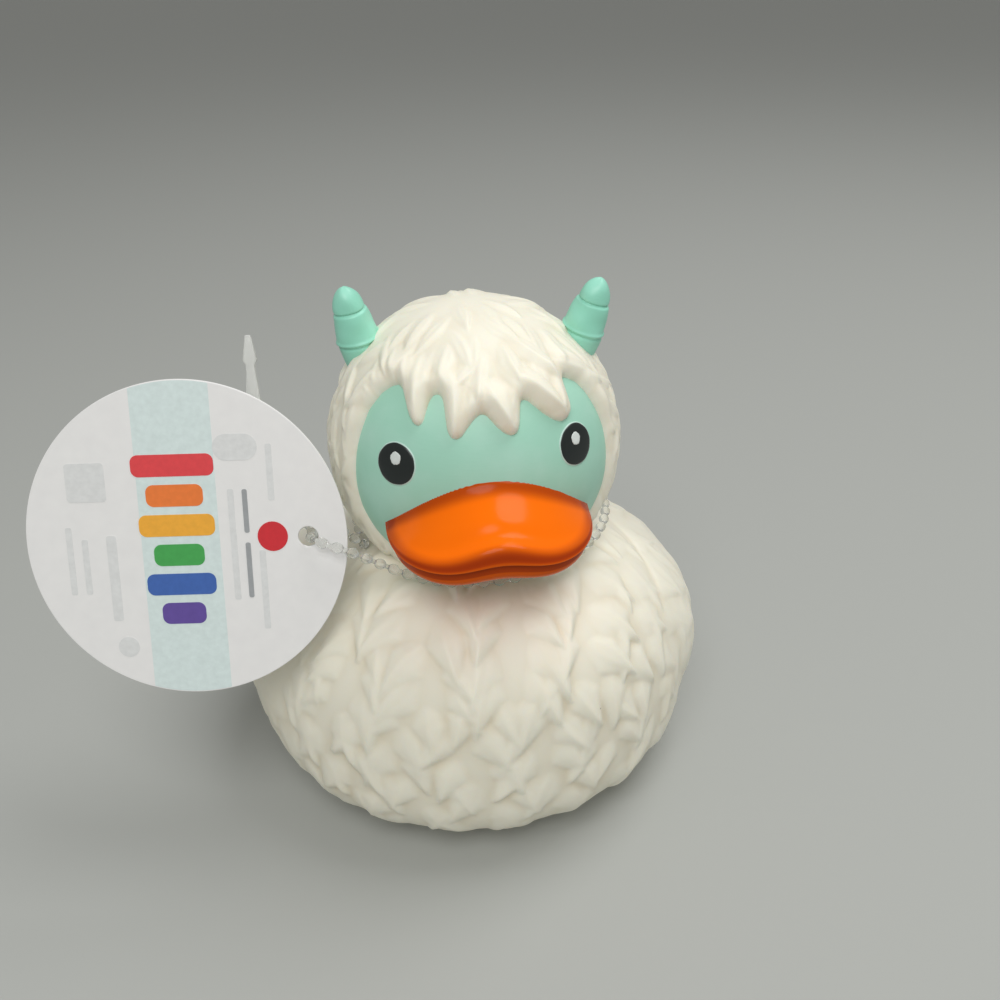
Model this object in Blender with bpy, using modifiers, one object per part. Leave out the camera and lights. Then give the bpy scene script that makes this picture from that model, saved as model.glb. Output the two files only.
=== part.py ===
# Rubber duck with a shaggy moulded coat, two small horns and a round card tag on a plastic loop.
# Metres, +Z up. The duck faces -Y and stands on its flat base at Z = 0, with the origin at its middle.
import math

import bmesh
import bpy
import numpy as np
from mathutils import Matrix, Vector

# Body: a full, round form, widest a quarter of the way up
BODY_HALF_WIDTH = 0.0427
BODY_FRONT = 0.0438
BODY_BACK = 0.0445
BODY_CENTRE_X = -0.0013
BODY_CENTRE_Y = 0.0040
WAIST_HEIGHT = 0.0238
BELLY_DROP = 0.0256
SHOULDER_POWER = 1.70
BELLY_POWER = 3.2
TAIL_LIFT = 0.0180
TAIL_REACH = 0.0055
TAIL_HALF_WIDTH = 0.0120
WING_RELIEF = 0.0016
WING_LENGTH = 0.0400
WING_AHEAD = 0.0120
WING_HALF_HEIGHT = 0.0135
WING_ABOVE_WAIST = 0.0060
WING_CLIMB = 0.0100

# Tufts of the body coat
TUFT_LENGTH = 0.0110
TUFT_WIDTH = 0.0074
TUFT_HEIGHT = 0.00150
TUFT_PITCH = 0.0062
TUFT_TALLEST = 1.1
TUFT_WIDEST_SHARE = 0.48
TUFT_HIGHEST_SHARE = 0.78
TUFT_TIP_SHARE = 0.55
TUFT_TOP_DEG = 66.0
TUFT_BOTTOM_DEG = -42.0
TUFT_TILT_DEG = 30.0
FLANK_CALM = 0.6

# Head, and the hood of fur round the bare face
HEAD_RADIUS = 0.0236
HEAD_CENTRE_Y = -0.0050
HEAD_HEIGHT = 0.0680
HEAD_ABOVE_SHOULDER = 0.0127
HOOD_THICKNESS = 0.0010
STRAND_LENGTH = 0.0085
STRAND_WIDTH = 0.0036
STRAND_HEIGHT = 0.0008
STRAND_PITCH = 0.0040
STRAND_TOP_DEG = 84.0
STRAND_BOTTOM_DEG = -45.0
STRAND_SWIRL_DEG = 16.0
STRAND_TILT_DEG = 24.0
FACE_HALF_WIDTH_DEG = 55.8
FACE_HALF_HEIGHT_DEG = 54.0
FACE_CENTRE_DEG = -10.0
FRINGE_ROUNDING_DEG = 3.6
FRINGE_LATITUDE_DEG = 33.0
FRINGE_RELIEF = 0.0008
FRINGE_BASE_DEG = 38.5
FRINGE_BASE_SLOPE = 0.1
FRINGE_BASE_HALF_DEG = 27.0

# Locks of the fringe: longitude and latitude of root and tip, and the radius at each, in degrees
FRINGE_LOCKS = [
    ((-31.8, 41.3), 7.3, (-29.5, 31.2), 3.0),
    ((-11.1, 39.7), 9.1, (-12.6, 29.0), 4.6),
    ((8.1, 37.9), 7.9, (8.5, 28.6), 4.2),
    ((29.1, 38.8), 10.4, (34.6, 29.8), 4.6),
]

# Eyes, as raised ovals of paint
EYE_LONGITUDE_DEG = 37.8
EYE_LATITUDE_DEG = 14.2
EYE_TILT_DEG = 0.9
EYE_HALF_WIDTH = 0.0034
EYE_HALF_HEIGHT = 0.0034
EYE_RELIEF = 0.00025
GLINT_HALF_WIDTH = 0.0010
GLINT_HALF_HEIGHT = 0.0011
GLINT_RISE_DEG = 2.2
GLINT_RELIEF = 0.00045

# Bill
BILL_HALF_WIDTH = 0.0166
BILL_REACH = 0.0101
BILL_BLUNTNESS = 2.5
BILL_ROOT_SHARE = 0.65
BILL_DROP = 0.0065
BILL_MOUTH_ARCH = 0.0018
BILL_ROOT_RISE = 0.0035
BILL_ROOT_FALL = 0.0086
BILL_ROOT_ARCH = 2.4
BILL_BACK = 0.0083
BILL_LEAST_RUN = 0.0003
BILL_LIP_RISE = 0.0026
BILL_LIP_HALF_WIDTH = 0.0066
BILL_LIP_SIDE = 0.0012
BILL_EDGE = 0.0007
LOWER_BILL_DEPTH = 0.0047
LOWER_BILL_SETBACK = 0.0009

# Horns
HORN_LENGTH = 0.0122
HORN_BASE_RADIUS = 0.0035
HORN_GROOVE_RADIUS = 0.0027
HORN_GROOVE_FROM_TIP = 0.0040
HORN_RING_FROM_TIP = 0.0088
HORN_TIP_POWER = 1.25
HORN_SPREAD_DEG = 48.5
HORN_TURN_DEG = 5.0
HORN_FORWARD_DEG = -4.0
HORN_LEAN_OUT_DEG = 15.0
HORN_LEAN_FORWARD_DEG = 11.0
HORN_GROOVE = 0.0003
HORN_ROOT = 0.0030

# Moulding
WALL = 0.0016
VENT_RADIUS = 0.0030
VENT_BACK = 0.0150

# Card tag and its plastic loop
TAG_DIAMETER = 0.0508
TAG_THICKNESS = 0.0005
TAG_HOLE_DIAMETER = 0.0032
TAG_HOLE_MARGIN = 0.0062
TAG_REACH = 0.0069
TAG_AZIMUTH_DEG = 209.0
TAG_FALL_DEG = 12.3
TAG_TURN_DEG = -7.2
TAG_LEAN_DEG = 18.8
LOOP_BEAD_RADIUS = 0.00085
LOOP_STRING_RADIUS = 0.00045
LOOP_BEAD_PITCH = 0.0042
LOOP_TILT_RISE = 0.0028
LOOP_CLIMB = 0.0001
LOOP_LOWEST_SHARE = 0.95
LOCK_WIDTH = 0.0034
LOCK_HEIGHT = 0.0046
LOCK_DEPTH = 0.0028
LOCK_ASIDE = 0.0086
LOCK_RISE = 0.0140
LOCK_BEHIND = 0.0034
STRAP_LENGTH = 0.0186
STRAP_WIDTH = 0.0029
STRAP_NECK_WIDTH = 0.0014
STRAP_ARROW_WIDTH = 0.0022
STRAP_ARROW_LENGTH = 0.0046
STRAP_THICKNESS = 0.0009
STRAP_TILT_DEG = 6.0

# Gap that the loop keeps where it rests on the duck
SEAT_GAP = 0.0004

# Fineness of the facets
COAT_SPHERE_LEVEL = 6
BODY_FACES = 3950
HOOD_FACES = 2150
SEED = 11

HEAD_CENTRE = Vector((0.0, HEAD_CENTRE_Y, HEAD_HEIGHT))
SHOULDER_RISE = HEAD_HEIGHT - HEAD_ABOVE_SHOULDER - WAIST_HEIGHT
HOOD_RADIUS = HEAD_RADIUS + HOOD_THICKNESS + STRAND_HEIGHT * TUFT_TALLEST
BILL_ROOT_Y = HEAD_CENTRE_Y - HEAD_RADIUS * BILL_ROOT_SHARE
BILL_LENGTH = HEAD_RADIUS * (1.0 - BILL_ROOT_SHARE) + BILL_REACH


def clear_scene():
    for obj in list(bpy.data.objects):
        bpy.data.objects.remove(obj, do_unlink=True)


def make_collection(name):
    collection = bpy.data.collections.new(name)
    bpy.context.scene.collection.children.link(collection)
    return collection


def make_material(name, colour, roughness, alpha=1.0):
    material = bpy.data.materials.new(name)
    material.use_nodes = True
    shader = material.node_tree.nodes["Principled BSDF"]
    shader.inputs["Base Color"].default_value = (*colour, 1.0)
    shader.inputs["Roughness"].default_value = roughness
    shader.inputs["Metallic"].default_value = 0.0
    shader.inputs["Alpha"].default_value = alpha
    material.diffuse_color = (*colour, alpha)
    return material


def take(collection, name, material, smooth=False):
    # Names the object that an operator has just added and moves it to a collection
    obj = bpy.context.object
    if smooth:
        obj.data.shade_smooth()
    obj.name = name
    obj.data.name = name
    for owner in list(obj.users_collection):
        owner.objects.unlink(obj)
    collection.objects.link(obj)
    obj.data.materials.clear()
    obj.data.materials.append(material)
    return obj


def as_former(obj):
    # A solid that only shapes another one is shown as wire and left out of renders
    obj.display_type = "WIRE"
    obj.hide_render = True
    return obj


def combine(target, operand, operation):
    cut = target.modifiers.new(operation.title() + " " + operand.name, "BOOLEAN")
    cut.object = operand
    cut.operation = operation
    cut.solver = "EXACT"
    cut.material_mode = "TRANSFER"


def read_points(mesh):
    flat = np.empty(len(mesh.vertices) * 3)
    mesh.vertices.foreach_get("co", flat)
    return flat.reshape(-1, 3)


def write_points(mesh, points):
    mesh.vertices.foreach_set("co", points.ravel())
    mesh.update()


def unit(vectors):
    return vectors / np.linalg.norm(vectors, axis=-1, keepdims=True)


def ease(value, low, high):
    t = np.clip((value - low) / (high - low), 0.0, 1.0)
    return t * t * (3.0 - 2.0 * t)


def direction_from_angles(longitude_deg, latitude_deg):
    # Longitude 0 looks along -Y and grows towards +X
    lon = math.radians(longitude_deg)
    lat = math.radians(latitude_deg)
    return Vector((math.sin(lon) * math.cos(lat), -math.cos(lon) * math.cos(lat), math.sin(lat)))


def body_axis_shift(height):
    # The upper body leans forward, until its axis passes through the head
    lean = HEAD_CENTRE_Y - BODY_CENTRE_Y
    return BODY_CENTRE_Y + lean * ease(height, WAIST_HEIGHT, WAIST_HEIGHT + SHOULDER_RISE * 0.85)


def body_surface(directions, inset=0.0):
    # Superellipsoid with its own power above and below the waist, leaned forward, with a raised tail
    d = unit(directions)
    half_depth = np.where(d[:, 1] < 0, BODY_FRONT, BODY_BACK) - inset
    across = np.hypot(d[:, 0] / (BODY_HALF_WIDTH - inset), d[:, 1] / half_depth)
    upper = d[:, 2] > 0
    power = np.where(upper, SHOULDER_POWER, BELLY_POWER)
    rise = np.where(upper, SHOULDER_RISE, BELLY_DROP) - inset
    reach = (across ** power + (np.abs(d[:, 2]) / rise) ** power) ** (-1.0 / power)
    points = d * reach[:, None]
    height = points[:, 2] + WAIST_HEIGHT
    points[:, 1] += body_axis_shift(height)
    points[:, 2] = height
    behind = ease(points[:, 1], BODY_CENTRE_Y + BODY_BACK * 0.42, BODY_CENTRE_Y + BODY_BACK)
    narrow = np.exp(-((points[:, 0] / TAIL_HALF_WIDTH) ** 2))
    above = ease(height, WAIST_HEIGHT * 0.3, WAIST_HEIGHT * 1.25)
    pull = behind * narrow * above
    points[:, 2] += TAIL_LIFT * pull
    points[:, 1] += TAIL_REACH * pull
    points[:, 0] += BODY_CENTRE_X
    return points


def inside_shoulder(point, grown):
    # Whether a point above the waist lies within the bare body, swollen by a clearance
    along = point.y - body_axis_shift(point.z)
    depth = BODY_FRONT if along < 0 else BODY_BACK
    across = math.hypot((point.x - BODY_CENTRE_X) / (BODY_HALF_WIDTH + grown), along / (depth + grown))
    lift = max(point.z - WAIST_HEIGHT, 0.0) / (SHOULDER_RISE + grown)
    return across ** SHOULDER_POWER + lift ** SHOULDER_POWER < 1.0


def surface_normals(surface, directions):
    # Outward normals of a closed form given as a function of direction
    step = 1e-3
    d = unit(directions)
    helper = np.where(np.abs(d[:, 2:3]) < 0.9, [[0.0, 0.0, 1.0]], [[1.0, 0.0, 0.0]])
    first = unit(np.cross(helper, d))
    second = np.cross(d, first)
    along_first = surface(d + step * first) - surface(d - step * first)
    along_second = surface(d + step * second) - surface(d - step * second)
    return unit(np.cross(along_first, along_second))


def tuft_relief(points, tufts):
    # Height of the coat over each point: the highest of the pointed leaves that cover it
    relief = np.zeros(len(points))
    for anchor, along, aside, length, width, height in tufts:
        offset = points - anchor
        share = offset @ along / length
        near = (share > 0.0) & (share < 1.0) & (np.abs(offset @ aside) < width)
        near &= np.einsum("ij,ij->i", offset, offset) < (1.3 * length) ** 2
        s = share[near]
        widest = TUFT_WIDEST_SHARE
        taper = 1.0 - (np.maximum(s - widest, 0.0) / (1.0 - widest)) ** 1.9
        half = width / 2 * np.where(s < widest, np.sqrt(s / widest), taper)
        across = np.clip(np.abs(offset[near] @ aside) / np.maximum(half, 1e-6), 0.0, 1.0)
        rise = np.sin(np.clip(s / TUFT_HIGHEST_SHARE, 0.0, 1.0) * math.pi / 2)
        rise *= 1.0 - (1.0 - TUFT_TIP_SHARE) * ease(s, TUFT_HIGHEST_SHARE, 1.0)
        leaf = height * rise * (1.0 - 0.45 * across - 0.55 * across ** 4)
        relief[near] = np.maximum(relief[near], leaf)
    return relief


def on_unit_ball(turn, rise):
    return [math.cos(turn) * math.cos(rise), math.sin(turn) * math.cos(rise), math.sin(rise)]


def lay_tufts(surface, rng, rows, size, swirl_deg, tilt_deg):
    # Rows of tufts from the crown down, each turned a little to one side or the other
    top_deg, bottom_deg, pitch = rows
    length, width, height = size
    tufts = []
    row = 0
    elevation = top_deg
    while elevation > bottom_deg:
        rise = math.radians(elevation)
        lower = rise - math.radians(1.0)
        here, below = surface(np.array([on_unit_ball(0.0, rise), on_unit_ball(0.0, lower)]))
        count = max(5, round(2 * math.pi * abs(here[0]) / pitch))
        for k in range(count):
            turn = 2 * math.pi * (k + 0.5 * (row % 2) + rng.uniform(-0.2, 0.2)) / count
            tip = math.radians(elevation + rng.uniform(-1.5, 1.5))
            direction = np.array(on_unit_ball(turn, tip))
            anchor, next_point = surface(np.array([direction, on_unit_ball(turn, tip - 0.02)]))
            normal = surface_normals(surface, direction[None, :])[0]
            down = unit(next_point - anchor)
            side = np.cross(normal, down)
            lean_sign = 1.0 if k % 2 else -1.0
            angle = math.radians(swirl_deg + lean_sign * tilt_deg + rng.uniform(-10.0, 10.0))
            along = math.cos(angle) * down + math.sin(angle) * side
            aside = np.cross(normal, along)
            scale = rng.uniform(0.85, 1.15)
            tall = height * rng.uniform(0.75, TUFT_TALLEST)
            tufts.append((anchor, along, aside, length * scale, width * scale, tall))
        elevation -= pitch / np.linalg.norm(here - below)
        row += 1
    return tufts


def coat_strength(points):
    # Full tufts on the breast and the rump, and a calmer coat on the flanks
    aside = np.abs(points[:, 0] - BODY_CENTRE_X)
    turn = np.degrees(np.arctan2(aside, BODY_CENTRE_Y - points[:, 1]))
    flank = ease(turn, 40.0, 62.0) * (1.0 - ease(turn, 118.0, 145.0))
    return 1.0 - FLANK_CALM * flank


def wing_relief(points):
    # A low folded wing on each flank, drawn to a point towards the tail
    along = (points[:, 1] - BODY_CENTRE_Y + WING_AHEAD) / WING_LENGTH
    middle = WAIST_HEIGHT + WING_ABOVE_WAIST + WING_CLIMB * along
    half = WING_HALF_HEIGHT * np.sqrt(np.clip(1.0 - (2.0 * along - 0.7) ** 2 / 2.9, 0.0, 1.0))
    inside = np.clip(1.0 - np.abs(points[:, 2] - middle) / np.maximum(half, 1e-6), 0.0, 1.0)
    ends = ease(along, -0.32, -0.05) * (1.0 - ease(along, 0.9, 1.05))
    side = ease(np.abs(points[:, 0] - BODY_CENTRE_X), 0.4 * BODY_HALF_WIDTH, 0.7 * BODY_HALF_WIDTH)
    return WING_RELIEF * np.sqrt(inside) * ends * side


def coarsen(obj, faces):
    thin = obj.modifiers.new("Fewer facets", "DECIMATE")
    thin.ratio = faces / len(obj.data.polygons)


def make_body(collection, vinyl):
    bpy.ops.mesh.primitive_ico_sphere_add(subdivisions=COAT_SPHERE_LEVEL, radius=1.0)
    body = take(collection, "duck", vinyl)
    directions = read_points(body.data)
    bare = body_surface(directions)
    normals = surface_normals(body_surface, directions)
    rng = np.random.default_rng(SEED)
    size = (TUFT_LENGTH, TUFT_WIDTH, TUFT_HEIGHT)
    rows = (TUFT_TOP_DEG, TUFT_BOTTOM_DEG, TUFT_PITCH)
    tufts = lay_tufts(body_surface, rng, rows, size, 0.0, TUFT_TILT_DEG)
    relief = tuft_relief(bare, tufts) * coat_strength(bare) + wing_relief(bare)
    write_points(body.data, bare + normals * relief[:, None])
    coarsen(body, BODY_FACES)
    return body


def cut_below(obj, height):
    # Cuts the form off level and closes it with one flat face
    work = bmesh.new()
    work.from_mesh(obj.data)
    everything = work.verts[:] + work.edges[:] + work.faces[:]
    bmesh.ops.bisect_plane(
        work, geom=everything, plane_co=(0, 0, height), plane_no=(0, 0, 1), clear_inner=True, dist=1e-7
    )
    rim = [edge for edge in work.edges if edge.is_boundary]
    bmesh.ops.contextual_create(work, geom=rim)
    bmesh.ops.recalc_face_normals(work, faces=work.faces)
    work.to_mesh(obj.data)
    work.free()


def sphere_surface(directions):
    return unit(directions) * HEAD_RADIUS + np.array(HEAD_CENTRE)


def hair_distance(directions):
    # Signed distance in degrees to the edge of the fur, positive in the fur, and how far each lock bulges
    d = unit(directions)
    longitude = np.degrees(np.arctan2(d[:, 0], -d[:, 1]))
    latitude = np.degrees(np.arcsin(np.clip(d[:, 2], -1.0, 1.0)))
    half_width = FACE_HALF_WIDTH_DEG - 9.0 * ease(-latitude, 15.0, 55.0)
    wide = np.abs(longitude) / half_width
    tall = np.abs(latitude - FACE_CENTRE_DEG) / FACE_HALF_HEIGHT_DEG
    tall = np.where(latitude < FACE_CENTRE_DEG, tall * 0.6, tall)
    edge = ((wide ** 4 + tall ** 4) ** 0.25 - 1.0) * FACE_HALF_HEIGHT_DEG
    base = latitude - FRINGE_BASE_DEG + FRINGE_BASE_SLOPE * longitude
    edge = np.maximum(edge, np.minimum(base, FRINGE_BASE_HALF_DEG - np.abs(longitude)))
    bulge = np.zeros(len(d))
    narrowing = math.cos(math.radians(FRINGE_LATITUDE_DEG))
    plan = np.stack([longitude * narrowing, latitude], axis=1)
    for root, root_radius, tip, tip_radius in FRINGE_LOCKS:
        start = np.array([root[0] * narrowing, root[1]])
        run = np.array([tip[0] * narrowing, tip[1]]) - start
        share = np.clip((plan - start) @ run / (run @ run), 0.0, 1.0)
        away = np.linalg.norm(plan - start - share[:, None] * run, axis=1)
        radius = root_radius + (tip_radius - root_radius) * share
        edge = np.maximum(edge, radius - away)
        round_lock = np.sqrt(np.clip(1.0 - (away / radius) ** 2, 0.0, 1.0)) * ease(share, 0.0, 0.6)
        bulge = np.maximum(bulge, round_lock)
    return edge, bulge


def make_hood(collection, vinyl):
    bpy.ops.mesh.primitive_ico_sphere_add(subdivisions=COAT_SPHERE_LEVEL, radius=1.0)
    hood = take(collection, "hood", vinyl)
    directions = read_points(hood.data)
    rng = np.random.default_rng(SEED + 1)
    size = (STRAND_LENGTH, STRAND_WIDTH, STRAND_HEIGHT)
    rows = (STRAND_TOP_DEG, STRAND_BOTTOM_DEG, STRAND_PITCH)
    strands = lay_tufts(sphere_surface, rng, rows, size, STRAND_SWIRL_DEG, STRAND_TILT_DEG)
    relief = tuft_relief(sphere_surface(directions), strands)
    distance, bulge = hair_distance(directions)
    rounding = np.clip(distance / FRINGE_ROUNDING_DEG, 0.0, 1.0)
    full = HOOD_THICKNESS + relief * ease(distance, 0.0, 2 * FRINGE_ROUNDING_DEG) + FRINGE_RELIEF * bulge
    sunk = HOOD_THICKNESS
    lift = (full + sunk) * np.sqrt(1.0 - (1.0 - rounding) ** 2) - sunk
    radius = HEAD_RADIUS + lift
    write_points(hood.data, unit(directions) * radius[:, None] + np.array(HEAD_CENTRE))
    coarsen(hood, HOOD_FACES)
    return as_former(hood)


def make_ground(collection, material):
    # What lies below the base is cut away level
    reach = 2 * (BODY_BACK + TAIL_REACH)
    bpy.ops.mesh.primitive_cube_add(size=2 * reach, location=(0, 0, -reach))
    return as_former(take(collection, "ground", material))


def make_face(collection, material):
    bpy.ops.mesh.primitive_uv_sphere_add(
        segments=40, ring_count=20, radius=HEAD_RADIUS, location=HEAD_CENTRE
    )
    return as_former(take(collection, "face", material, smooth=True))


def make_oval(collection, name, material, side, latitude_deg, half_width, half_height, relief):
    # A thin oval standing on the face: an elliptical plug cut by a sphere of a slightly larger radius
    outward = direction_from_angles(side * EYE_LONGITUDE_DEG, latitude_deg)
    place = Matrix.Translation(HEAD_CENTRE) @ outward.to_track_quat("Z", "Y").to_matrix().to_4x4()
    bpy.ops.mesh.primitive_cylinder_add(vertices=32, radius=1.0, depth=1.0)
    oval = take(collection, name, material)
    shape = Matrix.Diagonal((half_width, half_height, HEAD_RADIUS / 6, 1.0))
    oval.data.transform(place @ Matrix.Translation((0, 0, HEAD_RADIUS)) @ shape)
    bpy.ops.mesh.primitive_uv_sphere_add(
        segments=64, ring_count=32, radius=HEAD_RADIUS + relief, location=HEAD_CENTRE
    )
    dome = as_former(take(collection, name + "_dome", material))
    combine(oval, dome, "INTERSECT")
    return as_former(oval)


def bill_plan(ball, setback):
    # Plan of the bill: a broad, blunt spoon that grows out of the face, laid over a ball's plan
    n = BILL_BLUNTNESS
    around = np.hypot(ball[:, 0], ball[:, 1]) + 1e-9
    blunt = around / (np.abs(ball[:, 0]) ** n + np.abs(ball[:, 1]) ** n + 1e-9) ** (1.0 / n)
    x = ball[:, 0] * blunt * (BILL_HALF_WIDTH - 0.4 * setback)
    share = ball[:, 1] * blunt
    y = BILL_ROOT_Y + share * np.where(share < 0, BILL_LENGTH - setback, BILL_BACK)
    return x, y


def bill_mouth_height(x, y):
    # The line where the two halves of the bill meet, arched at the front of its middle
    face_front = HEAD_RADIUS - HEAD_CENTRE_Y
    forward = ease(-y, face_front * 0.9, face_front + BILL_REACH)
    return HEAD_HEIGHT - BILL_DROP + BILL_MOUTH_ARCH * forward * np.exp(-((x / BILL_LIP_HALF_WIDTH) ** 2))


def bill_top_height(x, y):
    # From an arched root on the face straight down to the lip
    share = np.clip(np.abs(x) / BILL_HALF_WIDTH, 0.0, 1.0)
    root_rise = BILL_ROOT_RISE - BILL_ROOT_FALL * share ** BILL_ROOT_ARCH
    root_y = HEAD_CENTRE_Y - np.sqrt(np.clip(HEAD_RADIUS ** 2 - x ** 2 - root_rise ** 2, 0.0, None))
    n = BILL_BLUNTNESS
    rim_y = BILL_ROOT_Y - BILL_LENGTH * np.maximum(1.0 - share ** n, 0.0) ** (1.0 / n)
    forward = np.clip((root_y - y) / np.maximum(root_y - rim_y, BILL_LEAST_RUN), 0.0, 1.0)
    lip = BILL_LIP_SIDE + BILL_LIP_RISE * np.exp(-((x / BILL_LIP_HALF_WIDTH) ** 2))
    root = HEAD_HEIGHT + root_rise
    return root + (bill_mouth_height(x, y) + lip - root) * forward ** 0.9


def make_upper_bill(collection, orange):
    bpy.ops.mesh.primitive_uv_sphere_add(segments=36, ring_count=16, radius=1.0)
    bill = take(collection, "upper_bill", orange, smooth=True)
    ball = read_points(bill.data)
    x, y = bill_plan(ball, 0.0)
    mouth = bill_mouth_height(x, y)
    crown = (1.0 - np.clip(1.0 - ball[:, 2] ** 2, 0.0, 1.0) ** 3) ** (1.0 / 3.0)
    height = np.where(ball[:, 2] > 0, bill_top_height(x, y) - mouth, -BILL_EDGE) * crown
    write_points(bill.data, np.stack([x, y, mouth + height], axis=1))
    return as_former(bill)


def make_lower_bill(collection, orange):
    bpy.ops.mesh.primitive_uv_sphere_add(segments=28, ring_count=12, radius=1.0)
    bill = take(collection, "lower_bill", orange, smooth=True)
    ball = read_points(bill.data)
    x, y = bill_plan(ball, LOWER_BILL_SETBACK)
    depth = LOWER_BILL_DEPTH * (1.0 - 0.35 * (x / BILL_HALF_WIDTH) ** 2)
    below = np.where(ball[:, 2] > 0, BILL_EDGE, depth) * np.sign(ball[:, 2]) * np.abs(ball[:, 2]) ** 0.5
    write_points(bill.data, np.stack([x, y, bill_mouth_height(x, y) - BILL_EDGE * 1.2 + below], axis=1))
    return as_former(bill)


def horn_profile():
    # Radius against distance from the seat, from the root up to the rounded tip
    r = HORN_BASE_RADIUS
    slim = HORN_GROOVE_RADIUS
    ring = HORN_LENGTH - HORN_RING_FROM_TIP
    groove = HORN_LENGTH - HORN_GROOVE_FROM_TIP
    step = 1.6 * HORN_GROOVE
    points = [(r, -HORN_ROOT), (r, ring - step), (r + HORN_GROOVE * 0.8, ring), (r * 0.985, ring + step)]
    points.append((slim + HORN_GROOVE * 0.6, groove - step))
    points += [(slim - HORN_GROOVE, groove), (slim, groove + step)]
    cap = HORN_GROOVE_FROM_TIP - step
    for k in range(1, 6):
        angle = k * math.pi / 10
        points.append((slim * math.cos(angle) ** HORN_TIP_POWER, HORN_LENGTH - cap + cap * math.sin(angle)))
    return points


def make_horn(collection, name, mint, side):
    outline = horn_profile()
    outline.reverse()
    mesh = bpy.data.meshes.new(name)
    points = [(max(radius, 0.0), 0.0, height) for radius, height in outline]
    points[0] = (0.0, 0.0, HORN_LENGTH)
    points.append((0.0, 0.0, -HORN_ROOT))
    edges = [(k, k + 1) for k in range(len(points) - 1)]
    mesh.from_pydata(points, edges, [])
    horn = bpy.data.objects.new(name, mesh)
    collection.objects.link(horn)
    mesh.materials.append(mint)
    turn = horn.modifiers.new("Turned", "SCREW")
    turn.angle = 2 * math.pi
    turn.steps = 20
    turn.render_steps = 20
    turn.axis = "Z"
    turn.use_merge_vertices = True
    turn.merge_threshold = 0.00001
    outward = direction_from_angles(0.0, 90.0)
    spread = Matrix.Rotation(math.radians(side * HORN_SPREAD_DEG), 3, "Y")
    forward = Matrix.Rotation(math.radians(HORN_FORWARD_DEG), 3, "X")
    turned = Matrix.Rotation(math.radians(-HORN_TURN_DEG), 3, "Z")
    seat = HEAD_CENTRE + (turned @ forward @ spread @ outward) * HEAD_RADIUS
    lean = Matrix.Rotation(math.radians(side * HORN_LEAN_OUT_DEG), 4, "Y")
    lean = Matrix.Rotation(math.radians(HORN_LEAN_FORWARD_DEG), 4, "X") @ lean
    horn.matrix_world = Matrix.Translation(seat) @ lean
    return as_former(horn)


def make_hollow(collection, vinyl):
    # The inside of the moulding, a wall's thickness within the bare forms
    bpy.ops.mesh.primitive_ico_sphere_add(subdivisions=4, radius=1.0)
    hollow = take(collection, "hollow", vinyl)
    inside = body_surface(read_points(hollow.data), WALL)
    write_points(hollow.data, inside)
    cut_below(hollow, WALL)
    bpy.ops.mesh.primitive_ico_sphere_add(subdivisions=3, radius=HEAD_RADIUS - WALL, location=HEAD_CENTRE)
    skull = as_former(take(collection, "head_hollow", vinyl))
    combine(hollow, skull, "UNION")
    return as_former(hollow)


def make_vent(collection, vinyl):
    bpy.ops.mesh.primitive_cylinder_add(
        vertices=24, radius=VENT_RADIUS, depth=4 * WALL, location=(0, VENT_BACK, 0)
    )
    return as_former(take(collection, "vent", vinyl))


def make_duck(parts, formers):
    vinyl = make_material("Ivory vinyl", (0.78, 0.75, 0.65), 0.55)
    mint = make_material("Mint paint", (0.34, 0.66, 0.55), 0.5)
    orange = make_material("Orange paint", (1.0, 0.16, 0.005), 0.25)
    black = make_material("Black paint", (0.015, 0.017, 0.017), 0.35)
    white = make_material("White paint", (0.72, 0.75, 0.73), 0.4)
    duck = make_body(parts, vinyl)
    combine(duck, make_ground(formers, vinyl), "DIFFERENCE")
    combine(duck, make_face(formers, mint), "UNION")
    combine(duck, make_hood(formers, vinyl), "UNION")
    combine(duck, make_upper_bill(formers, orange), "UNION")
    combine(duck, make_lower_bill(formers, orange), "UNION")
    for side, word in ((-1, "right"), (1, "left")):
        combine(duck, make_horn(formers, word + "_horn", mint, side), "UNION")
        latitude = EYE_LATITUDE_DEG + side * EYE_TILT_DEG
        eye = make_oval(
            formers, word + "_eye", black, side, latitude,
            EYE_HALF_WIDTH, EYE_HALF_HEIGHT, EYE_RELIEF,
        )
        glint = make_oval(
            formers, word + "_glint", white, side, latitude + GLINT_RISE_DEG,
            GLINT_HALF_WIDTH, GLINT_HALF_HEIGHT, GLINT_RELIEF,
        )
        combine(duck, eye, "UNION")
        combine(duck, glint, "UNION")
    combine(duck, make_hollow(formers, vinyl), "DIFFERENCE")
    combine(duck, make_vent(formers, vinyl), "DIFFERENCE")
    return duck


def loop_radius():
    # The loop lies on a sphere about the head, just clear of its fur
    return HOOD_RADIUS + SEAT_GAP + LOOP_BEAD_RADIUS


def loop_point(angle, height):
    radius = math.sqrt(loop_radius() ** 2 - (height - HEAD_HEIGHT) ** 2)
    return Vector((radius * math.cos(angle), HEAD_CENTRE_Y + radius * math.sin(angle), height))


def neck_point(angle_deg):
    # A point of the loop in the crease between head and shoulder; angle 0 is towards +X
    angle = math.radians(angle_deg)
    clear = TUFT_HEIGHT * TUFT_TALLEST + SEAT_GAP + LOOP_BEAD_RADIUS
    height = HEAD_HEIGHT - loop_radius() * LOOP_LOWEST_SHARE
    while inside_shoulder(loop_point(angle, height), clear):
        height += LOOP_CLIMB
    height += LOOP_TILT_RISE * (0.5 + 0.5 * math.cos(angle)) ** 2
    return loop_point(angle, height)


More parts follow.
